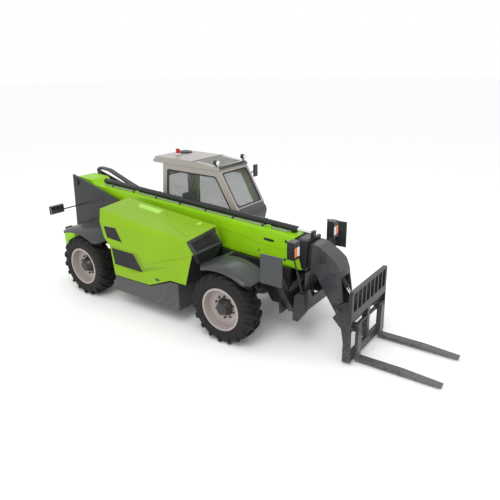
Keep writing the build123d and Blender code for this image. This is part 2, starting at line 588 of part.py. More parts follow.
# ---------------------------------------------------------------- fork carriage and forks
CARRIAGE_HALF = 637
RACK_TOP = 1155
SHAFT = (2560, 540)
with BuildPart() as fork_carriage:
    cheek = [
        (2302, 698), (2340, 760), (2508, 869), (2590, 845), (2597, 471), (2605, 50), (2477, 39), (2479, 342),
        (2440, 560),
    ]
    for side in (-1, 1):
        side_slab(cheek, side * (CARRIAGE_HALF - 17), side * CARRIAGE_HALF)
        ear = [(2150, 530), (2120, 600), (2160, 680), (2420, 830), (2500, 830), (2500, 560)]
        side_slab(ear, side * 180, side * 215, rounding=20)
        lug = [(2290, 730), (2300, 800), (2360, 810), (2500, 760), (2500, 640), (2360, 700)]
        side_slab(lug, side * 45, side * 70)
    block((2480, 2540), (-CARRIAGE_HALF + 17, CARRIAGE_HALF - 17), (600, 800))
    # rack: a frame with upright bars
    front_slab([(-CARRIAGE_HALF, 700), (CARRIAGE_HALF, 700), (CARRIAGE_HALF, RACK_TOP), (-CARRIAGE_HALF, RACK_TOP)],
               2540, 2590, rounding=50)
    gap_count = 8
    rack_in = CARRIAGE_HALF - 45
    pitch = 2 * rack_in / gap_count
    for index in range(gap_count):
        centre = -rack_in + pitch * (index + 0.5)
        opening = pitch - 34
        block((2530, 2600), (centre - opening / 2, centre + opening / 2), (830, RACK_TOP - 40), Mode.SUBTRACT)
    block((2540, 2600), (-CARRIAGE_HALF + 17, CARRIAGE_HALF - 17), (60, 200))
    block((2500, 2590), (-45, 45), (200, 700))
    cross_bar(*SHAFT, -CARRIAGE_HALF + 17, CARRIAGE_HALF - 17, 28)
    for side in (-1, 1):
        cross_bar(*TILT_PIVOT, side * 170, side * 240, 34 + FIT, Mode.SUBTRACT)
write(fork_carriage, "fork_carriage")

FORK_BACK = 2600 + FIT
with BuildPart() as forks:
    for y in (-FORK_Y, FORK_Y):
        blade = [
            (FORK_BACK, 520), (FORK_BACK, 60), (FORK_BACK + 30, 30), (FORK_TIP_X, 30), (FORK_TIP_X, 42),
            (3300, 75), (FORK_BACK + 55, 75), (FORK_BACK + 48, 90), (FORK_BACK + 48, 520),
        ]
        side_slab(blade, y - 65, y + 65)
        side_slab([(2560, 486), (2560, 594), (FORK_BACK + 20, 594), (FORK_BACK + 48, 560), (FORK_BACK + 48, 486)],
                  y - 50, y + 50)
        cross_bar(*SHAFT, y - 50, y + 50, 54)
        cross_bar(*SHAFT, y - 51, y + 51, 28 + FIT, Mode.SUBTRACT)
write(forks, "forks")

# ---------------------------------------------------------------- hood and grille
HOOD_SIDE = [
    (-914, 605), (-408, 806), (-67, 802), (132, 1363), (29, 1551), (29, 1950), (-2120, 1950),
    (-2028, 1571), (-1948, 1286), (-1830, 1158), (-1765, 611),
]
HOOD_CREASE_Z = 1563
SHOULDER_TILT = (0, -2.65, 1)         # normal of the shoulder facet
BELT_TILT = (0.025, -1, -0.071)       # normal of the facet under the side crease
BELT_POINT = (132, -HOOD_OUT, 1363)


def beyond(point, normal, inset):
    """A large block outside a facet, to be cut away."""
    outward = Vector(*normal).normalized()
    size = 9000
    return Plane(origin=Vector(*point) - outward * inset, z_dir=outward) * Pos(0, 0, size / 2) * Box(size, size, size)


def hood_form(inset, y_in=-HOOD_IN):
    """The hood's outer form; with an inset, the form of its inner faces."""
    with BuildSketch(Plane.XZ.offset(HOOD_OUT - inset)) as face:
        with BuildLine():
            Polyline(*HOOD_SIDE, close=True)
        make_face()
        if inset:
            offset(amount=-inset, kind=Kind.INTERSECTION)
    form = extrude(face.sketch, amount=-(HOOD_OUT - inset + y_in), mode=Mode.PRIVATE)
    form -= beyond(HOOD_CREST, TOP_TILT, inset)
    form -= beyond((0, -HOOD_OUT, HOOD_CREASE_Z), SHOULDER_TILT, inset)
    form -= beyond(BELT_POINT, BELT_TILT, inset)
    return form


hood_outer = hood_form(0)
hood_inner = hood_form(HOOD_WALL, -HOOD_IN + 5)
with BuildPart() as engine_hood:
    add(hood_outer)
    add(hood_inner, mode=Mode.SUBTRACT)
    block((-1730, -130), (-HOOD_OUT + 55, -HOOD_IN + 5), (560, 840), Mode.SUBTRACT)
    # hinge knuckles along the inner top edge
    for post in HOOD_POSTS:
        x = post + POST_WIDTH + 4
        y_strap = (-HOOD_IN - 60, HOOD_HINGE_Y)
        z = hood_hinge(x + HINGE_LENGTH / 2)[2]
        block((x, x + HINGE_LENGTH), y_strap, (z - HINGE_KNUCKLE + 2, z + HINGE_KNUCKLE - 2))
        bar(hood_hinge(x), hood_hinge(x + HINGE_LENGTH), HINGE_KNUCKLE)
        bar(hood_hinge(x - 1), hood_hinge(x + HINGE_LENGTH + 1), HINGE_PIN + FIT, Mode.SUBTRACT)
write(engine_hood, "engine_hood")

GRILLE_PROUD = 16
GRILLE_MESH = 6
GRILLE_FRAME = [(-1146, 1560), (-466, 1629), (-400, 1324), (-557, 1118), (-957, 1137), (-1106, 1330)]
GRILLE_WINDOWS = [
    [(-1080, 1530), (-520, 1570), (-480, 1400), (-1050, 1385)],
    [(-1050, 1340), (-500, 1345), (-590, 1160), (-940, 1175)],
]


def nose_shell(gap, thick):
    """A shell in front of the hood's nose, from a gap off it to a thickness."""
    nose = [(-67, 802), (132, 1363), (29, 1551), (29, 1700)]
    low, high = [], []
    for (x, z) in nose:
        low.append((x + gap, z))
        high.append((x + gap + thick, z))
    return extrude(outline(Plane.XZ.offset(HOOD_OUT + 50), low + high[::-1]), amount=-900, mode=Mode.PRIVATE)


with BuildPart() as hood_grilles:
    front_slab(GRILLE_FRAME, -100, 200)
    add(nose_shell(FIT, GRILLE_PROUD), mode=Mode.INTERSECT)
    for window in GRILLE_WINDOWS:
        cut = extrude(outline(Plane.YZ.offset(-100), window), amount=300, mode=Mode.PRIVATE)
        add(cut & nose_shell(FIT + GRILLE_MESH, GRILLE_PROUD), mode=Mode.SUBTRACT)
write(hood_grilles, "hood_grilles")

# ---------------------------------------------------------------- cab
CAB_SIDE = [(-1850, DECK_Z), (-1850, 1850), (-1795, 2400), (-440, 2375), (-60, 1724), (-20, 1250), (-110, DECK_Z)]
CAB_INNER = [(-1800, 800), (-1800, 1850), (-1748, 2352), (-470, 2327), (-112, 1715), (-72, 1250), (-150, 800)]
CAB_UPPER = [(-1800, 1060)] + CAB_INNER[1:6] + [(-104, 1060)]
RIGHT_WINDOW = [(-1730, 1380), (-1730, 1900), (-1690, 2290), (-520, 2265), (-190, 1700), (-150, 1380)]
DOORWAY = [(-1740, 840), (-1740, 1900), (-1700, 2300), (-520, 2280), (-190, 1700), (-190, 840)]
REAR_WINDOW = ((380, 1020), (1450, 2150))
SKYLIGHT = ((-1000, -520), (380, 1020))
SCREEN = [(-413, 2330), (-78, 1755)]
SCREEN_OUT = (0.864, 0.504)
SCREEN_Y = (345, 1055)
GLASS = 6
HINGE_X, HINGE_Y = -1752, 1132


def screen_band(low, high, trim=0):
    """The windscreen's place: a band across the raked front wall, from low to high off its face."""
    (x0, z0), (x1, z1) = SCREEN
    run = hypot(x1 - x0, z1 - z0)
    ux, uz = (x1 - x0) / run, (z1 - z0) / run
    x0, z0, x1, z1 = x0 + ux * trim, z0 + uz * trim, x1 - ux * trim, z1 - uz * trim
    ox, oz = SCREEN_OUT
    return [(x0 + ox * low, z0 + oz * low), (x1 + ox * low, z1 + oz * low),
            (x1 + ox * high, z1 + oz * high), (x0 + ox * high, z0 + oz * high)]


with BuildPart() as cab_frame:
    side_slab(CAB_SIDE, CAB_RIGHT, CAB_LEFT)
    side_slab(CAB_INNER, PLATE_OUT + 12 + CAB_WALL, CAB_LEFT - CAB_WALL, Mode.SUBTRACT)
    side_slab(CAB_UPPER, CAB_RIGHT + CAB_WALL, CAB_LEFT - CAB_WALL, Mode.SUBTRACT)
    block((-1900, 50), (CAB_RIGHT - 1, PLATE_OUT + 12), (DECK_Z - 1, TOWER_FOOT + 10), Mode.SUBTRACT)
    side_slab(RIGHT_WINDOW, CAB_RIGHT - 5, CAB_RIGHT + CAB_WALL + 5, Mode.SUBTRACT, 60)
    side_slab(DOORWAY, CAB_LEFT - CAB_WALL - 5, CAB_LEFT + 5, Mode.SUBTRACT, 40)
    side_slab(screen_band(-70, 70), *SCREEN_Y, Mode.SUBTRACT)
    block((-1900, -1700), *REAR_WINDOW, Mode.SUBTRACT)
    block(*SKYLIGHT, (2200, 2500), Mode.SUBTRACT)
    for z in (1000 + FIT, 2100 + FIT):
        bar((HINGE_X, HINGE_Y, z), (HINGE_X, HINGE_Y, z + 50), 12)
        block((HINGE_X - 30, HINGE_X), (CAB_LEFT - 5, HINGE_Y), (z, z + 50))
write(cab_frame, "cab_frame")

ROOF_SIDE = [
    (-2030, 2410), (-2053, 2437), (-1966, 2522), (-1012, 2500), (-470, 2440), (-425, 2400), (-440, 2375 + FIT),
    (-1795, 2400 + FIT),
]
with BuildPart() as cab_roof:
    side_slab(ROOF_SIDE, CAB_RIGHT - 10, CAB_LEFT + 10)
    block(*SKYLIGHT, (2200, 2600), Mode.SUBTRACT)
write(cab_roof, "cab_roof")


def pane(points, rounding, y):
    """A side pane seated in a window cut from the same outline."""
    with BuildSketch(Plane.XZ.offset(-y)) as face:
        add(outline(Plane.XY, points, rounding))
        offset(amount=-FIT)
    extrude(face.sketch, amount=-GLASS)


with BuildPart() as cab_glass:
    pane(RIGHT_WINDOW, 60, CAB_RIGHT + 20)
    side_slab(screen_band(-20, -20 + GLASS, FIT), SCREEN_Y[0] + FIT, SCREEN_Y[1] - FIT)
    block((-1838, -1838 + GLASS), *[(low + FIT, high - FIT) for low, high in REAR_WINDOW])
    block(*[(low + FIT, high - FIT) for low, high in SKYLIGHT], (2430, 2430 + GLASS))
write(cab_glass, "cab_glass")

DOOR_WINDOW = [(-1660, 1260), (-1660, 1880), (-1630, 2220), (-560, 2205), (-270, 1680), (-270, 1260)]
with BuildPart() as cab_door:
    with BuildSketch(Plane.XZ.offset(-(CAB_LEFT - 45))) as leaf:
        add(outline(Plane.XY, DOORWAY, 40))
        offset(amount=-DOOR_GAP)
    extrude(leaf.sketch, amount=-45)
    side_slab(DOOR_WINDOW, CAB_LEFT - 50, CAB_LEFT + 5, Mode.SUBTRACT, 50)
    for z in (950, 2050):
        bar((HINGE_X, HINGE_Y, z), (HINGE_X, HINGE_Y, z + 50), 12)
        block((HINGE_X, -1690), (CAB_LEFT + 1, HINGE_Y), (z, z + 50))
        block((-1706, -1690), (CAB_LEFT - 5, HINGE_Y), (z, z + 50))
    block((-300, -220), (CAB_LEFT - 5, CAB_LEFT + 25), (1150, 1180))
write(cab_door, "cab_door")

with BuildPart() as door_glass:
    pane(DOOR_WINDOW, 50, CAB_LEFT - 30)
write(door_glass, "door_glass")

with BuildPart() as seat:
    block((-1400, -1050), (560, 840), (800 + FIT, 1150))
    side_slab([(-1500, 1150), (-1590, 1800), (-1480, 1810), (-1390, 1290), (-940, 1290), (-930, 1150)],
              480, 920, rounding=30)
write(seat, "seat")

with BuildPart() as dashboard:
    side_slab([(-400, 800 + FIT), (-165, 800 + FIT), (-130, 1250), (-170, 1500), (-330, 1480), (-430, 1380)], 420, 980)
    bar((-390, 700, 1420), (-520, 700, 1560), 28)
    wheel_plane = Plane(origin=(-520, 700, 1560), z_dir=(-0.68, 0, 0.73))
    with Locations(wheel_plane):
        Torus(165, 14)
        Cylinder(40, 24)
        Box(24, 330, 14)
write(dashboard, "dashboard")

# ---------------------------------------------------------------- lamps, beacon, mirrors
with BuildPart() as lamps:
    for side in (-1, 1):
        block((1760, 1800), (side * 600, side * 640), (950 + FIT, 968))
        bar((1780, side * 620, 962), (1640, side * 620, 1462), 13)
        block((1565, 1690), (side * 545, side * 695), (1455, 1725))
        # tail lamps on the counterweight
        block((-3760, -3700), (side * 560, side * 700), (998 + FIT, 1060))
        # work lights at the roof's front corners
        y = 700 + side * 400
        bar((-545, y, 2514), (-470, y, 2514), 44)
        block((-520, -500), (y - 12, y + 12), (2445.9, 2480))
write(lamps, "lamps")

with BuildPart() as beacon:
    bar((-1676, 578, 2516.8), (-1676, 578, 2556), 48)
    bar((-1676, 578, 2550), (-1676, 578, 2640), 38)
write(beacon, "beacon")

with BuildPart() as mirrors:
    cross_bar(-3540, 1500, -PLATE_OUT - FIT, -840, 12)
    block((-3562, -3520), (-1120, -820), (1450, 1610))
    block((-385, -355), (CAB_LEFT + FIT, CAB_LEFT + 14), (2190, 2230))
    bar((-370, CAB_LEFT + 10, 2210), (-290, 1180, 2260), 10)
    block((-305, -270), (1130, 1228), (2150, 2370))
write(mirrors, "mirrors")

# ---------------------------------------------------------------- travel of the moving parts
LIFT_RANGE = 68
TILT_RANGE = (-90, 12)
LEG_RANGE = 90


def turned(point, pivot, angle):
    """A point turned about a pivot by an angle in degrees, from the first axis to the second."""
    turn = radians(angle)
    a, b = point[0] - pivot[0], point[1] - pivot[1]
    return (pivot[0] + a * cos(turn) - b * sin(turn), pivot[1] + a * sin(turn) + b * cos(turn))


def linkage(name, base, eye, pivot, angle):
    """Print how far a cylinder swings and extends when what it drives turns by an angle."""
    there = turned(eye, pivot, angle)
    spans = [(p[0] - base[0], p[1] - base[1]) for p in (eye, there)]
    swing = degrees(atan2(spans[1][1], spans[1][0]) - atan2(spans[0][1], spans[0][0]))
    stroke = hypot(*spans[1]) - hypot(*spans[0])
    print(f"{name}: turn {angle}, swing ratio {swing / angle:.5f}, "
          f"stroke {stroke:.2f} mm, {stroke / 1000 / radians(angle):.6f} m/rad")


linkage("lift cylinder", LIFT_BASE, LIFT_EYE, BOOM_PIVOT, LIFT_RANGE)
linkage("tilt cylinder", TILT_BASE, TILT_EYE, TILT_PIVOT, TILT_RANGE[0])
linkage("stabiliser cylinder", STAB_TOP, leg_point(*STAB_EYE, 1), LEG_PIVOT, -LEG_RANGE)
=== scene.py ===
# %% [markdown]
# # A telehandler in the studio
#
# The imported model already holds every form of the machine. This notebook dresses it: it gives
# each piece the finish that such a piece has, adds the few things that are too small or too soft
# for the solids, and sets up a pale studio round it.

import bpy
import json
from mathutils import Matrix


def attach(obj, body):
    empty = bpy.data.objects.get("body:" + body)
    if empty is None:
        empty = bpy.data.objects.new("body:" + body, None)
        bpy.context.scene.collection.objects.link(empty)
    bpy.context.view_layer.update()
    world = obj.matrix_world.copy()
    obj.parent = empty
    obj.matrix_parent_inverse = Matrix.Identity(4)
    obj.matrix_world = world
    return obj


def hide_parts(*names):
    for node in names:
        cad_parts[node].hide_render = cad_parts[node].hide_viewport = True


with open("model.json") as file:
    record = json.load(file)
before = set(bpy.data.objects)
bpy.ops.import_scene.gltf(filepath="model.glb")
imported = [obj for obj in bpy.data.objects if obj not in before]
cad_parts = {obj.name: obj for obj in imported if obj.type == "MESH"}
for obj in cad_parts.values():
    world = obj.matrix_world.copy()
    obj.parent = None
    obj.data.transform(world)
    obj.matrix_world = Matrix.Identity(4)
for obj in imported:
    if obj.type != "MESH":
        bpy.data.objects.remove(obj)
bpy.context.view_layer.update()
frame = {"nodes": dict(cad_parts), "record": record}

# %% Modules
import json
from math import cos, hypot, pi, radians, sin, sqrt

import bmesh
import bpy
from mathutils import Matrix, Vector

# %% [markdown]
# ## Shader sums as Python sums
#
# A procedural finish is arithmetic on masks and noises. Written as nodes it is hard to read, so a
# small class wraps a socket and lets Python's own operators add the Math nodes. Numbers stay plain
# numbers until they meet a socket.

# %% A socket that can be added, multiplied and compared
def plug(value, socket):
    """Put a number, a colour or another node's output into a socket."""
    if isinstance(value, Flow):
        socket.id_data.links.new(value.socket, socket)
    else:
        socket.default_value = value


class Flow:
    """The output of a node. Arithmetic on it adds Math nodes to the same tree."""

    def __init__(self, socket):
        self.socket = socket

    def math(self, operation, *operands):
        node = self.socket.id_data.nodes.new("ShaderNodeMath")
        node.operation = operation
        for value, socket in zip(operands, node.inputs):
            plug(value, socket)
        return Flow(node.outputs[0])

    def __add__(self, other):
        return self.math("ADD", self, other)

    __radd__ = __add__

    def __sub__(self, other):
        return self.math("SUBTRACT", self, other)

    def __rsub__(self, other):
        return self.math("SUBTRACT", other, self)

    def __mul__(self, other):
        return self.math("MULTIPLY", self, other)

    __rmul__ = __mul__

    def distance(self):
        return self.math("ABSOLUTE", self)

    def over(self, edge, width):
        """0 below an edge and 1 above it, with a soft step of the given width."""
        step = (self - (edge - width / 2)) * (1 / width)
        return step.math("MINIMUM", step.math("MAXIMUM", step, 0.0), 1.0)


# %% [markdown]
# ## A finish
#
# Every material here is one Principled shader. The class below makes it, sets what is the same all
# over the surface straight on the shader, and has one method for every other node.

# %% The finish class
class Finish:
    """A material with one Principled shader."""

    def __init__(self, name, **constants):
        self.material = bpy.data.materials.new(name)
        self.material.use_nodes = True
        self.tree = self.material.node_tree
        self.shader = self.tree.nodes["Principled BSDF"]
        for socket, value in constants.items():
            self.shader.inputs[socket.replace("_", " ")].default_value = value

    def node(self, kind, settings=None, inputs=None, output=0):
        """Any node: its settings first, then the values or links of its sockets."""
        node = self.tree.nodes.new(kind)
        for name, value in (settings or {}).items():
            setattr(node, name, value)
        for name, value in (inputs or {}).items():
            plug(value, node.inputs[name])
        return Flow(node.outputs[output])

    def place(self):
        """Where a point is on the machine, in metres."""
        return self.node("ShaderNodeTexCoord", output="Object")

    def axis(self, letter):
        return self.node("ShaderNodeSeparateXYZ", inputs={"Vector": self.place()}, output=letter)

    def noise(self, scale, detail=3.0, stretch=None):
        where = self.place()
        if stretch:
            where = self.node("ShaderNodeVectorMath", {"operation": "MULTIPLY"}, {0: where, 1: stretch})
        return self.node("ShaderNodeTexNoise", inputs={"Vector": where, "Scale": scale, "Detail": detail})

    def mix(self, amount, low, high):
        """Two colours, blended by a mask."""
        return self.node(
            "ShaderNodeMix", {"data_type": "RGBA"},
            {0: amount, 6: low, 7: high}, output=2,
        )

    def feed(self, socket, value):
        plug(value, self.shader.inputs[socket])

    def relief(self, height, distance, rounding=0.0):
        """Bump from a height, on edges that are rounded for the light."""
        inputs = {"Height": height, "Distance": distance}
        if rounding:
            inputs["Normal"] = self.node("ShaderNodeBevel", {"samples": 6}, {"Radius": rounding})
        self.feed("Normal", self.node("ShaderNodeBump", inputs=inputs))


# %% [markdown]
# ## The studio
#
# A machine like this is shown on a pale seamless floor under large soft lights, so that its gloss
# has something calm to reflect. The floor and the lights are not part of the machine.

# %% Floor, sky and lights
scene = bpy.context.scene
scene.view_settings.view_transform = "Standard"
STUDIO_WHITE = (0.97, 0.97, 0.97, 1)


def studio_floor(half):
    """A flat pale sheet at the tyres' feet, far larger than the view."""
    mesh = bpy.data.meshes.new("studio_floor")
    corners = [(-half, -half, -0.002), (half, -half, -0.002), (half, half, -0.002), (-half, half, -0.002)]
    mesh.from_pydata(corners, [], [(0, 1, 2, 3)])
    floor = bpy.data.objects.new("studio_floor", mesh)
    scene.collection.objects.link(floor)
    sheet = Finish("studio_sheet", Roughness=0.75)
    sheet.feed("Base Color", STUDIO_WHITE)
    mesh.materials.append(sheet.material)
    return floor


def soft_light(name, place, aim, size, watts, tint=(1, 1, 1)):
    """A square area light that looks at a point."""
    lamp = bpy.data.lights.new(name, "AREA")
    lamp.size, lamp.energy, lamp.color = size, watts, tint
    light = bpy.data.objects.new(name, lamp)
    light.location = place
    light.rotation_euler = (Vector(aim) - Vector(place)).to_track_quat("-Z", "Y").to_euler()
    scene.collection.objects.link(light)
    return light


studio_floor(150)
scene.world = bpy.data.worlds.new("studio_sky")
scene.world.use_nodes = True
sky = scene.world.node_tree.nodes["Background"]
sky.inputs["Color"].default_value = (1.0, 1.0, 1.0, 1)
sky.inputs["Strength"].default_value = 1.0
soft_light("key_light", (3.0, -7.5, 10.0), (-0.5, 0, 1.0), 6, 560)
soft_light("side_light", (-9.0, -3.0, 5.0), (-1.5, 0, 1.0), 5, 40)
soft_light("back_light", (-4.0, 9.0, 7.0), (-0.5, 0, 1.2), 5, 120)

# %% [markdown]
# ## The camera
#
# The view is from the front right, a little above the boom. Its direction is given as a bearing
# and a tilt, and the horizon leans by one degree.

# %% Camera
BEARING, TILT_DOWN, LEAN = radians(125.84), radians(19.86), radians(-0.957)
forward = Vector((cos(TILT_DOWN) * cos(BEARING), cos(TILT_DOWN) * sin(BEARING), -sin(TILT_DOWN)))
level_right = forward.cross(Vector((0, 0, 1))).normalized()
level_up = level_right.cross(forward)
right = cos(LEAN) * level_right + sin(LEAN) * level_up
up = right.cross(forward)
camera = bpy.data.objects.new("camera", bpy.data.cameras.new("camera"))
turn = Matrix((right, up, -forward)).transposed().to_4x4()
camera.matrix_world = Matrix.Translation((5.159, -6.578, 4.094)) @ turn
camera.data.lens = 36.55
camera.data.clip_end = 500
scene.collection.objects.link(camera)
scene.camera = camera

# %% [markdown]
# ## Forms
#
# The small parts of a machine are mostly plates, bars, turned rings and frames. They could be made
# from Blender's primitives, but a class that takes a drawing's own numbers reads better: outlines
# are given in millimetres, and each piece becomes metres only when it is finished. A narrow bevel
# rounds every edge, because no edge of a real part is a knife edge.

# %% A piece drawn in millimetres
MILLIMETRE = 0.001


class Form:
    """The forms of one piece, drawn in millimetres on the machine's own axes."""

    def __init__(self):
        self.mesh = bmesh.new()

    def loft(self, rings, closed=False, capped=True):
        """Faces between rings that have the same number of points."""
        rows = [[self.mesh.verts.new(point) for point in ring] for ring in rings]
        count = len(rows[0])
        pairs = list(zip(rows, rows[1:]))
        if closed:
            pairs.append((rows[-1], rows[0]))
        for low, high in pairs:
            for index in range(count):
                after = (index + 1) % count
                self.mesh.faces.new((low[index], low[after], high[after], high[index]))
        if capped and not closed:
            self.mesh.faces.new(rows[0][::-1])
            self.mesh.faces.new(rows[-1])
        return self

    def prism(self, face, sweep):
        return self.loft([face, [Vector(point) + Vector(sweep) for point in face]])

    def side(self, points, y_from, y_to):
        """An outline seen from the side, as X and Z, between two Y positions."""
        return self.prism([(x, y_from, z) for x, z in points], (0, y_to - y_from, 0))

    def front(self, points, x_from, x_to):
        """An outline seen from the front, as Y and Z, between two X positions."""
        return self.prism([(x_from, y, z) for y, z in points], (x_to - x_from, 0, 0))

    def plan(self, points, z_from, z_to):
        """An outline seen from above, as X and Y, between two Z positions."""
        return self.prism([(x, y, z_from) for x, y in points], (0, 0, z_to - z_from))

    def block(self, x, y, z):
        return self.plan([(x[0], y[0]), (x[1], y[0]), (x[1], y[1]), (x[0], y[1])], *z)

    def turned(self, start, end, section, sides=32):
        """A turned form on the line from start to end: the section is (along, radius) pairs."""
        start, end = Vector(start), Vector(end)
        axis = (end - start).normalized()
        across = axis.orthogonal().normalized()
        third = axis.cross(across)
        angles = [2 * pi * index / sides for index in range(sides)]
        return self.loft([
            [start + axis * along + (across * cos(turn) + third * sin(turn)) * radius for turn in angles]
            for along, radius in section
        ])

    def rod(self, start, end, radius, sides=32):
        length = (Vector(end) - Vector(start)).length
        return self.turned(start, end, [(0, radius), (length, radius)], sides)

    def frame(self, outer, inner, sweep):
        """A flat frame between two outlines, swept along a vector."""
        sweep = Vector(sweep)
        corners = [
            [Vector(a), Vector(b), Vector(b) + sweep, Vector(a) + sweep] for a, b in zip(outer, inner)
        ]
        return self.loft(corners, closed=True)

    def piece(self, name, body, slot, finish, bevel=2.0, sharp=35):
        """The finished object: in metres, on its body, with its finish and its rounded edges."""
        bmesh.ops.recalc_face_normals(self.mesh, faces=self.mesh.faces)
        bmesh.ops.scale(self.mesh, vec=Vector((1, 1, 1)) * MILLIMETRE, verts=self.mesh.verts)
        mesh = bpy.data.meshes.new(name)
        self.mesh.to_mesh(mesh)
        self.mesh.free()
        mesh.polygons.foreach_set("use_smooth", [True] * len(mesh.polygons))
        mesh.set_sharp_from_angle(angle=radians(sharp))
        mesh.materials.append(finishes[finish])
        made = bpy.data.objects.new(name, mesh)
        scene.collection.objects.link(made)
        if bevel:
            rounding = made.modifiers.new("edges", "BEVEL")
            rounding.width, rounding.segments = bevel * MILLIMETRE, 2
            rounding.limit_method, rounding.angle_limit = "ANGLE", radians(sharp)
        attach(made, body)
        return made


def rounded(points, radius, steps=5):
    """An outline with its corners rounded; every corner gets the same number of points."""
    soft = []
    for index, corner in enumerate(points):
        corner = Vector(corner)
        before, after = Vector(points[index - 1]), Vector(points[(index + 1) % len(points)])
        to_before, to_after = (before - corner).normalized(), (after - corner).normalized()
        start, end = corner + to_before * radius, corner + to_after * radius
        for step in range(steps + 1):
            share = step / steps
            low, high = start.lerp(corner, share), corner.lerp(end, share)
            soft.append(tuple(low.lerp(high, share)))
    return soft


def grown(points, width):
    """An outline moved outward by a width, for outlines that turn one way round."""
    area = sum(a[0] * b[1] - b[0] * a[1] for a, b in zip(points, points[1:] + points[:1]))
    way = 1 if area > 0 else -1
    moved = []
    for index, corner in enumerate(points):
        before, after = Vector(points[index - 1]), Vector(points[(index + 1) % len(points)])
        corner = Vector(corner)
        into, out = (corner - before).normalized(), (after - corner).normalized()
        first, second = Vector((into.y, -into.x)) * way, Vector((out.y, -out.x)) * way
        middle = (first + second).normalized()
        moved.append(tuple(corner + middle * (width / max(0.4, middle.dot(first)))))
    return moved


print("forms ready")
# %% [markdown]
# ## Paint
#
# The panels are sprayed steel and moulded plastic. Fresh paint is not one flat colour: the film
# varies a little, it has the fine dimples of a sprayed coat, and dust gathers low down. Folded
# edges are a few millimetres round, and the bevel gives them the highlight that the eye expects.
# Some solids carry two colours. A mask, worked out from the place on the machine, says where the
# second colour starts, as masking tape does in the paint shop.

# %% Paint finishes
DUST = (0.30, 0.28, 0.25, 1)
# The hood's lime is a darker copy of the boom's lime: the difference is painted shade on the hood.
HOOD_LIME_SHADED = (0.225, 0.405, 0.008)
BOOM_LIME = (0.268, 0.560, 0.008)
CHARCOAL = (0.015, 0.016, 0.018)
SLATE = (0.043, 0.046, 0.050)
CAB_BEIGE = (0.340, 0.305, 0.290)
BLACK = (0.010, 0.010, 0.011)


def painted(name, colour, rough, coat, rounding=0.006, dust_top=0.9, vary=0.06, taped=(), shine=0.3):
    """Sprayed paint with soft variation, fine dimples and a little dust low down.

    taped holds (mask, colour) pairs: a mask is a function of the finish, and its paint goes over
    the first. shine is the gloss of the paint itself, coat that of the lacquer over it.
    """
    paint = Finish(name, Coat_Roughness=0.12, Specular_IOR_Level=shine)
    cloud = paint.noise(1.7)
    speckle = paint.noise(38.0, 2.0)

    def film(base):
        darker = tuple(c * (1 - 2 * vary) for c in base) + (1,)
        lighter = tuple(min(1, c * (1 + vary)) for c in base) + (1,)
        return paint.mix(cloud, darker, lighter)

    skin = film(colour)
    for mask, second in taped:
        skin = paint.mix(mask(paint), skin, film(second))
    low_down = 1 - paint.axis("Z").over(dust_top * 0.5, dust_top)
    dust = low_down * speckle.over(0.52, 0.3) * 0.3
    paint.feed("Base Color", paint.mix(dust, skin, DUST))
    paint.feed("Roughness", dust * 0.5 + speckle * 0.06 + (rough - 0.03))
    paint.feed("Coat Weight", (1 - dust) * coat)
    paint.relief(paint.noise(420.0, 1.0), 0.00012, rounding)
    return paint.material


def hood_nose(paint):
    """1 on the hood's nose, under the grille: its face leans forward as it rises."""
    face = paint.axis("X") - paint.axis("Z") * 0.3547 + (0.802 * 0.3547 + 0.067)
    return face.over(-0.006, 0.002) * (1 - paint.axis("Z").over(1.361, 0.002))


def wheel_radius(paint):
    """How far a point is from the axle line of its own wheel, squared."""
    from_axle = ((paint.axis("X") + 1.01).distance() - 1.66)
    height = paint.axis("Z") - 0.58
    return from_axle * from_axle + height * height


def hub(paint):
    return 1 - wheel_radius(paint).over(0.150 ** 2, 0.0008)


def blade_tip(paint):
    """1 on the fork blades ahead of the worn stretch."""
    return paint.axis("X").over(3.30, 0.01)


finishes = {
    "lime_paint": painted("lime_paint", BOOM_LIME, 0.36, 0.08, shine=0.15),
    # the hood's paint uses the darker lime, as painted shade
    "hood_paint": painted("hood_paint", HOOD_LIME_SHADED, 0.36, 0.06, shine=0.12, taped=[(hood_nose, CHARCOAL)]),
    "charcoal_paint": painted("charcoal_paint", CHARCOAL, 0.42, 0.2, vary=0.1),
    "grey_paint": painted("grey_paint", SLATE, 0.40, 0.25, vary=0.08),
    "cab_paint": painted("cab_paint", CAB_BEIGE, 0.38, 0.3, dust_top=1.3, vary=0.03),
    "rim_paint": painted("rim_paint", (0.36, 0.305, 0.292), 0.33, 0.35, dust_top=1.1, vary=0.03,
                         taped=[(hub, CHARCOAL)]),
    "axle_iron": painted("axle_iron", (0.030, 0.030, 0.033), 0.55, 0.05, vary=0.15),
    "engine_iron": painted("engine_iron", (0.10, 0.10, 0.105), 0.6, 0.0, vary=0.15),
    "fork_steel": painted("fork_steel", (0.048, 0.052, 0.056), 0.36, 0.2, vary=0.12,
                          taped=[(blade_tip, (0.085, 0.085, 0.088))]),
    "machinery": painted("machinery", (0.016, 0.016, 0.018), 0.45, 0.1, vary=0.15),
}

# %% [markdown]
# ## Rubber, plastic, glass, chrome and cloth
#
# Tyre rubber is nearly black, matt and slightly brown where it has rolled. The cab's inner
# plastics have a fine moulded grain. Glass is a thin tinted sheet, so it is made from alpha and
# a sharp gloss. The piston rods are hard chrome.

# %% The other finishes
def rubber(name):
    tyre = Finish(name, Specular_IOR_Level=0.3)
    worn = tyre.noise(9.0, 4.0).over(0.5, 0.5)
    tyre.feed("Base Color", tyre.mix(worn * 0.5, (0.006, 0.006, 0.006, 1), (0.016, 0.015, 0.015, 1)))
    tyre.feed("Roughness", worn * 0.12 + 0.62)
    tyre.relief(tyre.noise(210.0, 3.0), 0.0006, 0.006)
    return tyre.material


def moulded(name, colour, rough=0.5, grain=0.0004):
    plastic = Finish(name)
    cloud = plastic.noise(6.0)
    lighter = tuple(c * 1.5 for c in colour[:3]) + (1,)
    plastic.feed("Base Color", plastic.mix(cloud, (*colour, 1), lighter))
    plastic.feed("Roughness", cloud * 0.1 + rough)
    plastic.relief(plastic.noise(330.0, 2.0), grain, 0.004)
    return plastic.material


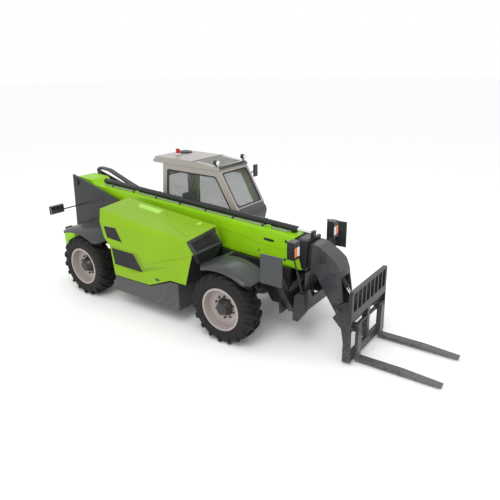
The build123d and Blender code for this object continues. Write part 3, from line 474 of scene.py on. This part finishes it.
def glazing(name, tint, alpha):
    glass = Finish(name, Roughness=0.03, Specular_IOR_Level=0.6)
    smear = glass.noise(3.0, 2.0)
    glass.feed("Base Color", (*tint, 1))
    glass.feed("Alpha", smear * 0.05 + alpha)
    glass.material.surface_render_method = "BLENDED"
    return glass.material


def chromed(name):
    chrome = Finish(name, Metallic=1.0)
    streak = chrome.noise(30.0, 2.0, (0.05, 1, 1))
    chrome.feed("Base Color", (0.80, 0.80, 0.82, 1))
    chrome.feed("Roughness", streak * 0.08 + 0.08)
    return chrome.material


def woven(name):
    cloth = Finish(name, Sheen_Weight=0.3)
    weave = cloth.node(
        "ShaderNodeTexWave", {"wave_profile": "SIN"}, {"Vector": cloth.place(), "Scale": 260.0}
    )
    across = cloth.node(
        "ShaderNodeTexWave", {"bands_direction": "Y"}, {"Vector": cloth.place(), "Scale": 260.0}, output="Fac"
    )
    cloth.feed("Base Color", cloth.mix(weave * across, (0.018, 0.018, 0.02, 1), (0.05, 0.05, 0.055, 1)))
    cloth.feed("Roughness", 0.85)
    cloth.relief(weave + across, 0.0006, 0.01)
    return cloth.material


finishes.update(
    tyre_rubber=rubber("tyre_rubber"),
    rod_chrome=chromed("rod_chrome"),
    cab_glass=glazing("cab_glass", (0.10, 0.11, 0.115), 0.27),
    black_mesh=moulded("black_mesh", (0.006, 0.006, 0.007), 0.5),
    black_plastic=moulded("black_plastic", (0.013, 0.013, 0.014), 0.4),
    dark_seal=moulded("dark_seal", BLACK, 0.45),
    seat_cover=woven("seat_cover"),
    beacon_red=moulded("beacon_red", (0.36, 0.005, 0.008), 0.12, 0.0),
    roof_grey=moulded("roof_grey", (0.20, 0.20, 0.19)),
    pale_plastic=moulded("pale_plastic", (0.45, 0.42, 0.40), 0.3, 0.0001),
    amber_lens=moulded("amber_lens", (0.70, 0.19, 0.02), 0.15, 0.0002),
    red_lens=moulded("red_lens", (0.45, 0.01, 0.01), 0.15, 0.0002),
    clear_lens=moulded("clear_lens", (0.62, 0.62, 0.62), 0.1, 0.0002),
    lime_shadow=painted("lime_shadow", (0.13, 0.33, 0.006), 0.5, 0.1),
    pale_lime=painted("pale_lime", (0.38, 0.70, 0.09), 0.5, 0.1),
    pipe_steel=painted("pipe_steel", (0.33, 0.35, 0.34), 0.3, 0.2),
)

# %% Give every solid its finish
special = {"engine_hood": "hood_paint", "hood_grilles": "grey_paint", "cab_door": "lime_paint",
           "boom_middle": "machinery", "boom_head": "grey_paint"}
for part in frame["record"]["subparts"]:
    solid = frame["nodes"][part["node"]]
    for spot in solid.material_slots:
        spot.material = finishes[special.get(part["node"], part["material_slot"])]
print("finishes", len(finishes), "solids", len(frame["nodes"]))

# %% [markdown]
# ## Tyres
#
# A loader tyre is a round casing with slanting bars. The bars of the two halves are set half a
# pitch apart, so that one of them always touches the ground. Each bar is lofted through a few
# sections, from the middle of the tread over the shoulder and down the side wall.

# %% The four tyres
TYRE_RADIUS, TYRE_HALF, WHEEL_Y = 580, 190, 987
BARS = 18
# section of the casing: how far out from the wheel's middle, and the radius there
CASING = [(0, 547), (90, 546), (132, 540), (160, 524), (177, 496), (184, 460), (183, 420), (176, 386),
          (158, 352), (157, 336)]
# a bar's sections: how far out, how far ahead round the tread, half its width, top and root radius
BAR = [(-14, 62, 24, 579, 530), (30, 40, 25, 580, 530), (80, 4, 26, 580, 530), (130, -36, 28, 577, 520),
       (166, -62, 30, 566, 500), (184, -70, 30, 545, 480), (189, -72, 26, 505, 470)]


def wheel_point(out, ahead, radius, axle_x, side, turn):
    """A point of a tyre: out from its middle plane, ahead round the tread, at a radius."""
    angle = turn + ahead / TYRE_RADIUS
    return (axle_x + radius * sin(angle), side * (WHEEL_Y + out), TYRE_RADIUS + radius * cos(angle))


def tyre(name, axle_x, side):
    form = Form()
    section = CASING + [(-out, radius) for out, radius in CASING[::-1][:-1]]
    rings = [
        [wheel_point(out, 0, radius, axle_x, side, 2 * pi * index / 96) for out, radius in section]
        for index in range(96)
    ]
    form.loft(rings, closed=True)
    for half in (1, -1):
        for index in range(BARS):
            turn = 2 * pi * (index + (half > 0) / 2) / BARS
            form.loft([
                [wheel_point(half * out, ahead + across, radius, axle_x, side, turn)
                 for across, radius in ((-wide - 7, root), (-wide, top), (wide, top), (wide + 7, root))]
                for out, ahead, wide, top, root in BAR
            ])
    made = form.piece(f"tyre_tread_{name}", f"wheel_{name}", "tyre_rubber", "tyre_rubber", bevel=3, sharp=32)
    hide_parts(f"tyre_{name}")


for name, axle_x, side in (("front_left", 650, 1), ("front_right", 650, -1),
                           ("rear_left", -2670, 1), ("rear_right", -2670, -1)):
    tyre(name, axle_x, side)
    # wheel nuts round the hub, on studs
    nuts = Form()
    for index in range(10):
        turn = 2 * pi * index / 10
        x, z = axle_x + 176 * sin(turn), 580 + 176 * cos(turn)
        nuts.rod((x, side * (WHEEL_Y + 30), z), (x, side * (WHEEL_Y + 58), z), 17, 6)
        nuts.rod((x, side * (WHEEL_Y + 52), z), (x, side * (WHEEL_Y + 72), z), 9, 12)
    # ring of the hub's cover, with its plug
    middle = (axle_x, side * (WHEEL_Y + 128), 580)
    outward = (axle_x, side * (WHEEL_Y + 160), 580)
    nuts.turned(middle, outward, [(0, 98), (10, 98), (14, 92), (14, 60), (24, 52), (24, 0.5)], 40)
    nuts.piece(f"hub_{name}", f"wheel_{name}", "axle_iron", "charcoal_paint", bevel=2)

# %% [markdown]
# ## Hood
#
# The hood is one moulding. Its lower side panel is set in behind a stepped crease, and two vents
# are sunk into it. Pockets like these are cut from a solid in a machine shop, and a boolean
# modifier does the same to a mesh, so the moulding is a copy of the solid with the pockets cut.

# %% Pockets in the hood
HOOD_FACE = -1150             # Y of the hood's flat side
PANEL_DROP, VENT_DROP = 9, 10
SIDE_PANEL = [(-2100, 1205), (-1900, 1168), (-1063, 1151), (-943, 986), (120, 1352), (200, 1352), (200, 560),
              (-2100, 560)]
UPPER_VENT = [(-1930, 1503), (-1620, 1512), (-1482, 1274), (-1871, 1298)]
LOWER_VENT = [(-1784, 1118), (-1237, 1112), (-1025, 813), (-1741, 818)]


def belt_y(x, z):
    """Y of the hood's side face, which leans in under the belt line."""
    return max(HOOD_FACE, HOOD_FACE + 0.025 * (x - 132) - 0.071 * (z - 1363))


def cutter(form, name):
    """A tool for a boolean: the form as an object that isn't shown."""
    tool = form.piece(name, "chassis", "lime_paint", "lime_paint", bevel=0)
    tool.hide_render = tool.hide_viewport = True
    return tool


def carved(name, node, finish, tools, body):
    """A copy of a solid's mesh with the tools cut out of it, in place of the solid."""
    solid = frame["nodes"][node]
    mesh = solid.data.copy()
    mesh.materials.clear()
    mesh.materials.append(finishes[finish])
    made = bpy.data.objects.new(name, mesh)
    scene.collection.objects.link(made)
    for tool in tools:
        cut = made.modifiers.new(tool.name, "BOOLEAN")
        cut.operation, cut.object, cut.solver = "DIFFERENCE", tool, "EXACT"
    graph = bpy.context.evaluated_depsgraph_get()
    final = bpy.data.meshes.new_from_object(made.evaluated_get(graph))
    made.modifiers.clear()
    made.data = final
    for tool in tools:
        bpy.data.objects.remove(tool)
    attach(made, body)
    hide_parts(node)
    print(name, "faces", len(final.polygons))
    return made


# the panel's floor is upright while the side leans in, so its step fades out towards the nose
UPPER_FLOOR = HOOD_FACE + VENT_DROP
PANEL_FLOOR = HOOD_FACE + PANEL_DROP
LOWER_FLOOR = PANEL_FLOOR + VENT_DROP
OUTSIDE = HOOD_FACE - 60
panel_tool = cutter(Form().side(SIDE_PANEL, OUTSIDE, PANEL_FLOOR), "panel_tool")
vent_tools = [
    cutter(Form().side(UPPER_VENT, OUTSIDE, UPPER_FLOOR), "upper_vent_tool"),
    cutter(Form().side(LOWER_VENT, OUTSIDE, LOWER_FLOOR), "lower_vent_tool"),
]
carved("hood_moulding", "engine_hood", "hood_paint", [panel_tool, *vent_tools], "hood")

# %% [markdown]
# Behind each vent is a black screen with louvres. The slats are real ones: each is cut to the
# slanting outline of its vent by finding where that outline crosses the slat's height.

# %% Louvred screens
def span_at(points, height):
    """Where a level line crosses an outline: its lowest and highest first coordinate."""
    crossings = []
    for (u0, v0), (u1, v1) in zip(points, points[1:] + points[:1]):
        if (v0 - height) * (v1 - height) < 0:
            crossings.append(u0 + (u1 - u0) * (height - v0) / (v1 - v0))
    return min(crossings), max(crossings)


def louvres(form, points, pitch, slat):
    """Slats over an outline; slat(start, end, height) gives a slat's face and its sweep."""
    low, high = min(v for u, v in points), max(v for u, v in points)
    height = low + pitch * 0.7
    while height < high - pitch * 0.5:
        form.prism(*slat(*span_at(points, height), height))
        height += pitch


screens = Form()
for points, face in ((UPPER_VENT, UPPER_FLOOR), (LOWER_VENT, LOWER_FLOOR)):
    inside = grown(points, -2)
    screens.side(inside, face - 3, face + 0.5)

    def slat(start, end, height):
        profile = [(start, face - 1, height), (start, face - 2, height + 7), (start, face - 9, height + 1),
                   (start, face - 9, height - 2)]
        return profile, (end - start, 0, 0)

    louvres(screens, grown(points, -4), 17, slat)
    screens.frame([(x, face - 8, z) for x, z in grown(points, -1)],
                  [(x, face - 8, z) for x, z in grown(points, -9)], (0, 7, 0))
# divider of the lower vent
screens.block((-1566, -1554), (PANEL_FLOOR, LOWER_FLOOR), (818, 1115))
screens.piece("vent_screens", "hood", "black_mesh", "black_mesh", bevel=0)

# %% [markdown]
# The nose of the hood carries a grey frame with two openings, and the screens in them follow the
# nose, which leans forward up to a ridge and back above it.

# %% Screens in the nose
NOSE = [(-67, 802), (132, 1363), (29, 1551), (29, 1700)]
GRILLE_WINDOWS = [
    [(-1080, 1530), (-520, 1570), (-480, 1400), (-1050, 1385)],
    [(-1050, 1340), (-500, 1345), (-590, 1160), (-940, 1175)],
]


def nose_x(z):
    """X of the hood's nose at a height."""
    for (x0, z0), (x1, z1) in zip(NOSE, NOSE[1:]):
        if z <= z1:
            return x0 + (x1 - x0) * (z - z0) / (z1 - z0)
    return NOSE[-1][0]


nose_screen = Form()
for window in GRILLE_WINDOWS:
    inside = grown(window, -1)
    nose_screen.loft([[(nose_x(z) + depth, y, z) for y, z in inside] for depth in (6.5, 8)])

    def slat(start, end, height):
        x = nose_x(height)
        profile = [(x + 8, start, height), (x + 7, start, height + 7), (x + 14, start, height + 1),
                   (x + 14, start, height - 2)]
        return profile, (0, end - start, 0)

    louvres(nose_screen, grown(window, -4), 17, slat)
nose_screen.piece("nose_screens", "hood", "black_mesh", "black_mesh", bevel=0)

# %% Latch and pads of the hood
fittings = Form()
latch_y = belt_y(-700, 760) + PANEL_DROP
fittings.side(rounded([(-765, 728), (-660, 736), (-656, 796), (-765, 788)], 8), latch_y - 9, latch_y + 4)
fittings.side(rounded([(-750, 742), (-712, 744), (-712, 776), (-750, 774)], 5), latch_y - 13, latch_y - 8)
fittings.rod((-684, latch_y - 14, 764), (-684, latch_y - 8, 764), 12, 24)
fittings.piece("hood_latch", "hood", "black_plastic", "black_plastic", bevel=1)


def top_z(x, y):
    """Height of the hood's top facet."""
    return 1770 - 0.094 * (x + 2028) + 0.085 * (y + 1073)


def on_top(points, low, high):
    """Two rings that lie along the hood's top, for a pad on it."""
    return [[(x, y, top_z(x, y) + up) for x, y in points] for up in (low, high)]


pad = Form()
pad.loft(on_top(rounded([(-1690, -475), (-1600, -605), (-1105, -612), (-1120, -470)], 14), -1, 3))
pad.loft(on_top(rounded([(-290, -560), (-215, -535), (-250, -430), (-285, -450)], 8), -1, 3))
pad.piece("hood_pads", "hood", "lime_paint", "pale_lime", bevel=1)
# pressed seam that sweeps over the top from the boom's side to the nose; its darker lime is painted shade in
# the seam
seam_points = [(-1080, -420), (-890, -600), (-670, -765), (-455, -885), (-255, -970), (-90, -1012)]
seam = Form()
seam.loft([
    [(x - 3, y - 4, top_z(x, y) - 2), (x - 3, y - 4, top_z(x, y) + 1.5), (x + 3, y + 4, top_z(x, y) + 1.5),
     (x + 3, y + 4, top_z(x, y) - 2)] for x, y in seam_points
])
seam.piece("hood_seam", "hood", "lime_paint", "lime_shadow", bevel=0)

# %% [markdown]
# ## Cab and roof
#
# Round every window runs a black rubber seal, a little proud of the sheet metal. On the roof are
# the strip at its seam, the ribs of the roof window and the fittings that stand on it.

# %% Window seals
RIGHT_WINDOW = [(-1730, 1380), (-1730, 1900), (-1690, 2290), (-520, 2265), (-190, 1700), (-150, 1380)]
DOOR_WINDOW = [(-1660, 1260), (-1660, 1880), (-1630, 2220), (-560, 2205), (-270, 1680), (-270, 1260)]
REAR_WINDOW = [(380, 1450), (1020, 1450), (1020, 2150), (380, 2150)]
SCREEN_TOP, SCREEN_FOOT = Vector((-413, 0, 2330)), Vector((-78, 0, 1755))
SCREEN_OUT = Vector((0.864, 0, 0.504))


def seal(form, outline, place, sweep):
    """A seal round an opening; place turns the outline's two numbers into a point."""
    outside = [place(u, v) for u, v in rounded(grown(outline, 9), 45)]
    inside = [place(u, v) for u, v in rounded(grown(outline, -16), 40)]
    form.frame(outside, inside, sweep)


seals = Form()
seal(seals, RIGHT_WINDOW, lambda x, z: (x, 276, z), (0, 6, 0))
seal(seals, REAR_WINDOW, lambda y, z: (-1855, y, z), (6, 0, 0))
screen_length = (SCREEN_FOOT - SCREEN_TOP).length
seal(
    seals, [(345, 0), (1055, 0), (1055, screen_length), (345, screen_length)],
    lambda y, down: Vector((0, y, 0)) + SCREEN_TOP.lerp(SCREEN_FOOT, down / screen_length) + SCREEN_OUT * 3,
    SCREEN_OUT * -14,
)
seals.piece("window_seals", "chassis", "black_plastic", "dark_seal", bevel=1)
door_seal = Form()
seal(door_seal, DOOR_WINDOW, lambda x, z: (x, 1118, z), (0, 6, 0))
door_seal.piece("door_seal", "door", "black_plastic", "dark_seal", bevel=1)

# %% Roof
ROOF_LINE = [(-1966, 2522), (-1012, 2500), (-470, 2440), (-425, 2400)]


def roof_z(x):
    """Height of the roof's top at a place."""
    for (x0, z0), (x1, z1) in zip(ROOF_LINE, ROOF_LINE[1:]):
        if x <= x1:
            return z0 + (z1 - z0) * (x - x0) / (x1 - x0)
    return ROOF_LINE[-1][1]


strip = Form()
strip.side([(-1030, 2496), (-1030, 2505), (-1006, 2504), (-1006, 2495)], 268, 1132)
strip.side([(-430, 2396), (-478, 2436), (-478, 2446), (-418, 2402)], 300, 1100)
strip.piece("roof_strips", "chassis", "black_plastic", "dark_seal", bevel=1)
ribs = Form()
for x in range(-985, -530, 38):
    low = roof_z(x)
    ribs.side(rounded([(x, low - 24), (x, low + 7), (x + 20, low + 5), (x + 20, low - 26)], 4), 380, 1020)
ribs.piece("roof_ribs", "chassis", "black_plastic", "roof_grey", bevel=1)

disc = Form()
disc_z = roof_z(-1800)
disc.turned((-1800, 900, disc_z - 6), (-1800, 900, disc_z + 60),
            [(0, 140), (8, 150), (22, 148), (30, 132), (33, 60)], 48)
disc.piece("roof_disc", "chassis", "black_plastic", "black_plastic", bevel=1)
beacon_foot = Form()
FOOT_SECTION = [(0, 60), (10, 60), (14, 51), (38, 50), (41, 46)]
beacon_foot.turned((-1676, 578, 2517), (-1676, 578, 2600), FOOT_SECTION, 40)
beacon_foot.piece("beacon_foot", "chassis", "cab_paint", "pale_plastic", bevel=1)
cowl = Form()
COWL = [(-110, 1700), (-100, 1732), (-62, 1728), (28, 1650), (44, 1560), (-22, 1330), (-100, 1330)]
cowl.side(rounded(COWL, 12), 350, 1070)
cowl.piece("cab_cowl", "chassis", "grey_paint", "grey_paint", bevel=4)

# %% [markdown]
# ## Lamps and mirrors
#
# A lens is a thin slab with a rounded edge that stands on the face of its housing.

# %% Lenses and mirror glass
def slabs(name, places, finish, slot="black_plastic"):
    """Thin slabs with round corners, each given as its spans along X, Y and Z."""
    form = Form()
    for x, y, z in places:
        corners = [(y[0], z[0]), (y[1], z[0]), (y[1], z[1]), (y[0], z[1])]
        form.front(rounded(corners, 10), x[0], x[1])
    return form.piece(name, "chassis", slot, finish, bevel=2)


LAMP_FACE, LAMP_HEIGHT = (1688, 1695), (1500, 1640)
TAIL_FACE, TAIL_HEIGHT = (-3765, -3758), (1004, 1054)


def pair(x, inner, outer, z):
    """The same slab on the left and on the right."""
    return [(x, (side * inner, side * outer), z) for side in (1, -1)]


slabs("turn_lenses", pair(LAMP_FACE, 632, 684, LAMP_HEIGHT), "amber_lens")
slabs("side_lenses", pair(LAMP_FACE, 556, 616, LAMP_HEIGHT), "clear_lens")
slabs("tail_lenses", pair(TAIL_FACE, 566, 694, TAIL_HEIGHT), "red_lens", "beacon_red")
LEFT_MIRROR = ((-309, -304), (1137, 1221), (2160, 2360))
RIGHT_MIRROR = ((-3521, -3516), (-1112, -828), (1458, 1602))
slabs("mirror_faces", [LEFT_MIRROR, RIGHT_MIRROR], "rod_chrome", "rod_chrome")
work_lens = Form()
for y in (300, 1100):
    work_lens.turned((-472, y, 2514), (-440, y, 2514), [(0, 44), (5, 44), (7, 38), (9, 20)], 32)
work_lens.piece("work_lenses", "chassis", "black_plastic", "clear_lens", bevel=1)

# %% [markdown]
# ## Boom
#
# Plates are welded to the boom's sides where the next section comes out of it, and pipes run
# along its top beside the long tube. Everything is placed by its distance along the boom from the
# pivot and its height above the boom's top, so the drawing's numbers don't depend on the slope.

# %% Plates and pipes of the boom
BOOM_SLOPE, BOOM_HALF, BOOM_END = radians(3.42), 220, 5095


def on_boom(along, up, y=0.0):
    """A point from its distance along the boom, its height over the boom's top and its Y."""
    return (-3700 + along * cos(BOOM_SLOPE) + up * sin(BOOM_SLOPE), y,
            1930 - along * sin(BOOM_SLOPE) + up * cos(BOOM_SLOPE))


UPPER_PLATE = [(-1455, -30), (-1430, -150), (-1370, -176), (-830, -185), (-740, -246), (84, -246), (10, -30)]
LOWER_PLATE = [(-725, -256), (-700, -300), (-696, -484), (165, -484), (86, -256)]
STRIP = [(0, -470), (0, -440), (300, -440), (300, -470)]
plates = Form()
for side in (1, -1):
    for outline in (UPPER_PLATE, LOWER_PLATE):
        shape = [on_boom(BOOM_END + along, up, side * (BOOM_HALF - 1)) for along, up in outline]
        plates.prism(shape, (0, side * 8, 0))
    for along in range(700, 3700, 480):
        # backing strips of the long weld near the boom's lower edge
        shape = [on_boom(along + u, v, side * (BOOM_HALF - 1)) for u, v in STRIP]
        plates.prism(shape, (0, side * 5, 0))
plates.piece("boom_plates", "boom", "lime_paint", "lime_paint", bevel=2)
# Black slabs on the boom's end plates stand in for slot openings: their black is painted shade in the slots'
# hollows.
slots = Form()
for side in (1, -1):
    corners = rounded([(-530, -122), (-340, -122), (-340, -165), (-530, -165)], 18)
    shape = [on_boom(BOOM_END + along, up, side * (BOOM_HALF + 6)) for along, up in corners]
    slots.prism(shape, (0, side * 2.5, 0))
slots.piece("boom_slot_shade", "boom", "black_mesh", "black_mesh", bevel=0)
pipes = Form()
for y in (85, -85):
    pipes.rod(on_boom(620, 15, y), on_boom(4900, 15, y), 10, 16)
pipes.piece("boom_pipes", "boom", "rod_chrome", "pipe_steel", bevel=0)
CLAMP_SECTION = [(0, 50.5), (2, 55), (38, 55), (40, 50.5)]
clamps = Form()
for along in range(820, 4900, 600):
    clamps.turned(on_boom(along, 62), on_boom(along + 60, 62), CLAMP_SECTION, 40)
    for y in (85, -85):
        clamps.plan([on_boom(along, 0, y - 18)[:2], on_boom(along + 40, 0, y - 18)[:2],
                     on_boom(along + 40, 0, y + 18)[:2], on_boom(along, 0, y + 18)[:2]],
                    on_boom(along + 20, 0)[2] - 4, on_boom(along + 20, 28)[2])
clamps.piece("boom_clamps", "boom", "black_plastic", "black_plastic", bevel=2)

# %% Fittings in the mouth of the boom
mouth = Form()
for side in (1, -1):
    for back, up, radius in ((120, -95, 26), (120, -395, 26), (620, -360, 16)):
        section = [(0, radius), (6, radius), (9, radius * 0.7), (15, radius * 0.65), (17, radius * 0.4)]
        start, end = (on_boom(BOOM_END - back, up, side * (BOOM_HALF + out)) for out in (5, 24))
        mouth.turned(start, end, section, 6)
mouth.piece("boom_bolts", "boom", "axle_iron", "axle_iron", bevel=1)

# %% Crest of the tower
CREST = [(-3866, 2066), (-3793, 2125), (-3500, 2097), (-2958, 1896), (-2475, 1740)]
crest = Form()
crest.side(CREST + [(x + 6, z - 34) for x, z in CREST[::-1]], 329, 450)
crest.piece("tower_crest", "chassis", "charcoal_paint", "charcoal_paint", bevel=4)

# %% [markdown]
# ## Fenders
#
# Each fender is a thin sheet that is bent over its wheel and crowned towards its outer edge. A
# circle through three points gives the bend, and the crown lowers the sheet step by step.

# %% The four fenders
CROWN = [(0, 0), (1010, 0), (1050, 5), (1085, 14), (1112, 25), (1132, 38), (1146, 54), (1152, 68)]
FENDERS = {
    650: ((-455, 1196), (-60, 1278), (540, 1085), 620),
    -2670: ((-585, 1188), (-110, 1292), (465, 1108), 330),
}


def circle_through(a, b, c):
    """Centre and radius of the circle through three points."""
    ax, az = a
    bx, bz = b[0] - ax, b[1] - az
    cx, cz = c[0] - ax, c[1] - az
    scale = 2 * (bx * cz - bz * cx)
    ux = (cz * (bx * bx + bz * bz) - bz * (cx * cx + cz * cz)) / scale
    uz = (bx * (cx * cx + cz * cz) - cx * (bx * bx + bz * bz)) / scale
    return (ax + ux, az + uz), hypot(ux, uz)


def bend(rear, crest, front, steps=28):
    """Points of the bend, with even steps along X."""
    (x0, z0), radius = circle_through(rear, crest, front)
    xs = [rear[0] + (front[0] - rear[0]) * step / steps for step in range(steps + 1)]
    return [(x, z0 + sqrt(radius ** 2 - (x - x0) ** 2)) for x in xs]


sheets = Form()
for axle_x, (rear, crest, front, inner) in FENDERS.items():
    curve = bend(rear, crest, front)
    for side in (1, -1):
        rings = []
        for x, z in curve:
            # the outer corners are rounded: the sheet is narrower towards its two ends
            from_end = min(x - rear[0], front[0] - x)
            outer_edge = 1152 - (110 * (1 - from_end / 130) ** 2 if from_end < 130 else 0)
            crown = [(max(inner, min(out, outer_edge)), down) for out, down in CROWN]
            upper = [(axle_x + x, side * out, z - down) for out, down in crown]
            lower = [(axle_x + x, side * out, z - down - 12) for out, down in crown[::-1]]
            rings.append(upper + lower)
        sheets.loft(rings)
    if inner > 330:
        for side in (1, -1):
            sheets.block((axle_x - 360, axle_x - 300), (side * 330, side * (inner + 60)), (1190, 1226))
fender_sheets = sheets.piece("fender_sheets", "chassis", "grey_paint", "grey_paint", bevel=2, sharp=50)
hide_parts("fenders")

# %% [markdown]
# ## Head
#
# The head is a box of welded plates. The outer plates stand on the box with a seam all round, and pins and
# bolt heads stand on its sides.

# %% Plates of the head
HEAD = [(1800, 1540), (1905, 1478), (2005, 1419), (2112, 1331), (2164, 1197), (2213, 901), (2250, 640),
        (2200, 540), (2126, 523), (1846, 938), (1781, 1063)]
head = Form()
for side in (1, -1):
    shape = [(x, side * 169, z) for x, z in rounded(grown(HEAD, -26), 14, 3)]
    head.prism(shape, (0, side * 5, 0))
head.piece("head_plates", "boom_third", "charcoal_paint", "grey_paint", bevel=2)
UPPER_PIN = [(0, 62), (6, 60), (8, 40), (20, 38), (23, 30)]
LOWER_PIN = [(0, 58), (6, 56), (8, 38), (16, 36), (18, 28)]
pins = Form()
for side in (1, -1):
    pins.turned((1880, side * 172, 1340), (1880, side * 200, 1340), UPPER_PIN, 40)
    pins.turned((2120, side * 172, 640), (2120, side * 200, 640), LOWER_PIN, 40)
    for x, z in ((1905, 1420), (2010, 1340), (2085, 1150), (2120, 950), (2150, 760)):
        pins.turned((x, side * 172, z), (x, side * 190, z), [(0, 15), (9, 14), (11, 8)], 12)
pins.piece("head_pins", "boom_third", "axle_iron", "axle_iron", bevel=1)

# %% [markdown]
# ## Seat
#
# The operator's seat is upholstered, so its cushion and back are made the way a real pad is: a
# closed skin a little too small for its filling, which is then inflated. The cloth solver swells
# the skin until it is tight, and a cap keeps each point near the drawing. Grooves between the
# sewn channels are pressed in afterwards.

# %% Cushions
CAP, FILL = 16, 0.8
FRAMES = 16
GROOVE = 22                   # half the width of a groove


def swollen(name, form, cap, channels):
    """A pad: the form remeshed, inflated as cloth with its movement capped, and grooved.

    channels holds (axis, place, depth) of each seam between two channels.
    """
    made = form.piece(name, "chassis", "seat_cover", "seat_cover", bevel=0, sharp=180)
    remesh = made.modifiers.new("skin", "REMESH")
    remesh.mode, remesh.voxel_size = "VOXEL", 0.012
    graph = bpy.context.evaluated_depsgraph_get()
    skin = bpy.data.meshes.new_from_object(made.evaluated_get(graph))
    made.modifiers.clear()
    made.data = skin
    rest = [vertex.co.copy() for vertex in skin.vertices]
    cloth = made.modifiers.new("cloth", "CLOTH")
    cloth.settings.use_pressure = True
    cloth.settings.uniform_pressure_force = 1.2
    cloth.settings.tension_stiffness = cloth.settings.compression_stiffness = 90
    cloth.settings.effector_weights.gravity = 0
    cloth.point_cache.frame_start, cloth.point_cache.frame_end = 1, FRAMES
    for number in range(1, FRAMES + 1):
        scene.frame_set(number)
        graph = bpy.context.evaluated_depsgraph_get()
        graph.update()
    moved = [vertex.co.copy() for vertex in made.evaluated_get(graph).data.vertices]
    made.modifiers.clear()
    scene.frame_set(1)
    largest = capped = 0
    for vertex, start, end in zip(skin.vertices, rest, moved):
        step = end - start
        largest = max(largest, step.length)
        if step.length > cap * MILLIMETRE:
            capped += 1
            step.length = cap * MILLIMETRE
        vertex.co = start + step
    for vertex in skin.vertices:
        for axis, place, depth in channels:
            away = abs(vertex.co[axis] * 1000 - place)
            if away < GROOVE:
                vertex.co -= vertex.normal * depth * MILLIMETRE * (1 - away / GROOVE) ** 2
    skin.polygons.foreach_set("use_smooth", [True] * len(skin.polygons))
    skin.materials.clear()
    skin.materials.append(finishes["seat_cover"])
    print(name, "points", len(rest), "largest move mm", round(largest * 1000, 1), "capped", capped)
    return made


def ring(centre, along, across, half_along, half_across, corner=60):
    """A rounded rectangle in the plane of two directions.

    A stack of them is a pad's skin, narrower at its seams than in the middle.
    """
    outline = rounded([(-half_along, -half_across), (half_along, -half_across), (half_along, half_across),
                       (-half_along, half_across)], corner, 6)
    return [Vector(centre) + Vector(along) * u + Vector(across) * v for u, v in outline]


X_AXIS, Y_AXIS = (1, 0, 0), (0, 1, 0)
# height, half length and half width of each ring
CUSHION = [(1158, 240, 180), (1180, 262, 202), (1220, 268, 208), (1258, 262, 202), (1276, 235, 176)]
rings = [ring((-1215, 700, z), X_AXIS, Y_AXIS, long, wide) for z, long, wide in CUSHION]
cushion = swollen("seat_cushion", Form().loft(rings), CAP, [(0, -1300, 9), (0, -1120, 9)])
LEAN_BACK = Vector((-100, 0, 560)).normalized()
BACK_OUT = Vector((LEAN_BACK.z, 0, -LEAN_BACK.x))
BACK_CENTRE = Vector((-1490, 700, 1545))
# distance in front of the centre, half height and half width of each ring
BACKREST = [(-42, 225, 165), (-20, 248, 190), (14, 252, 196), (42, 246, 190), (60, 220, 160)]
rings = [
    ring(BACK_CENTRE + BACK_OUT * out, LEAN_BACK, Y_AXIS, tall, wide, 70) for out, tall, wide in BACKREST
]
backrest = swollen("seat_back", Form().loft(rings), CAP, [(2, 1440, 9), (2, 1620, 9)])

# %% Shell of the seat
shell = Form()
shell.plan(rounded([(-1400, 560), (-1050, 560), (-1050, 840), (-1400, 840)], 40), 800, 1120)
shell.plan(rounded([(-1480, 500), (-980, 500), (-980, 900), (-1480, 900)], 60), 1118, 1160)
shell.prism([(-1545, 540, 1150), (-1500, 540, 1150), (-1572, 540, 1780), (-1600, 540, 1780)], (0, 320, 0))
seat_shell = shell.piece("seat_shell", "chassis", "black_plastic", "black_plastic", bevel=6)
for piece in (cushion, backrest, seat_shell):
    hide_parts("seat")
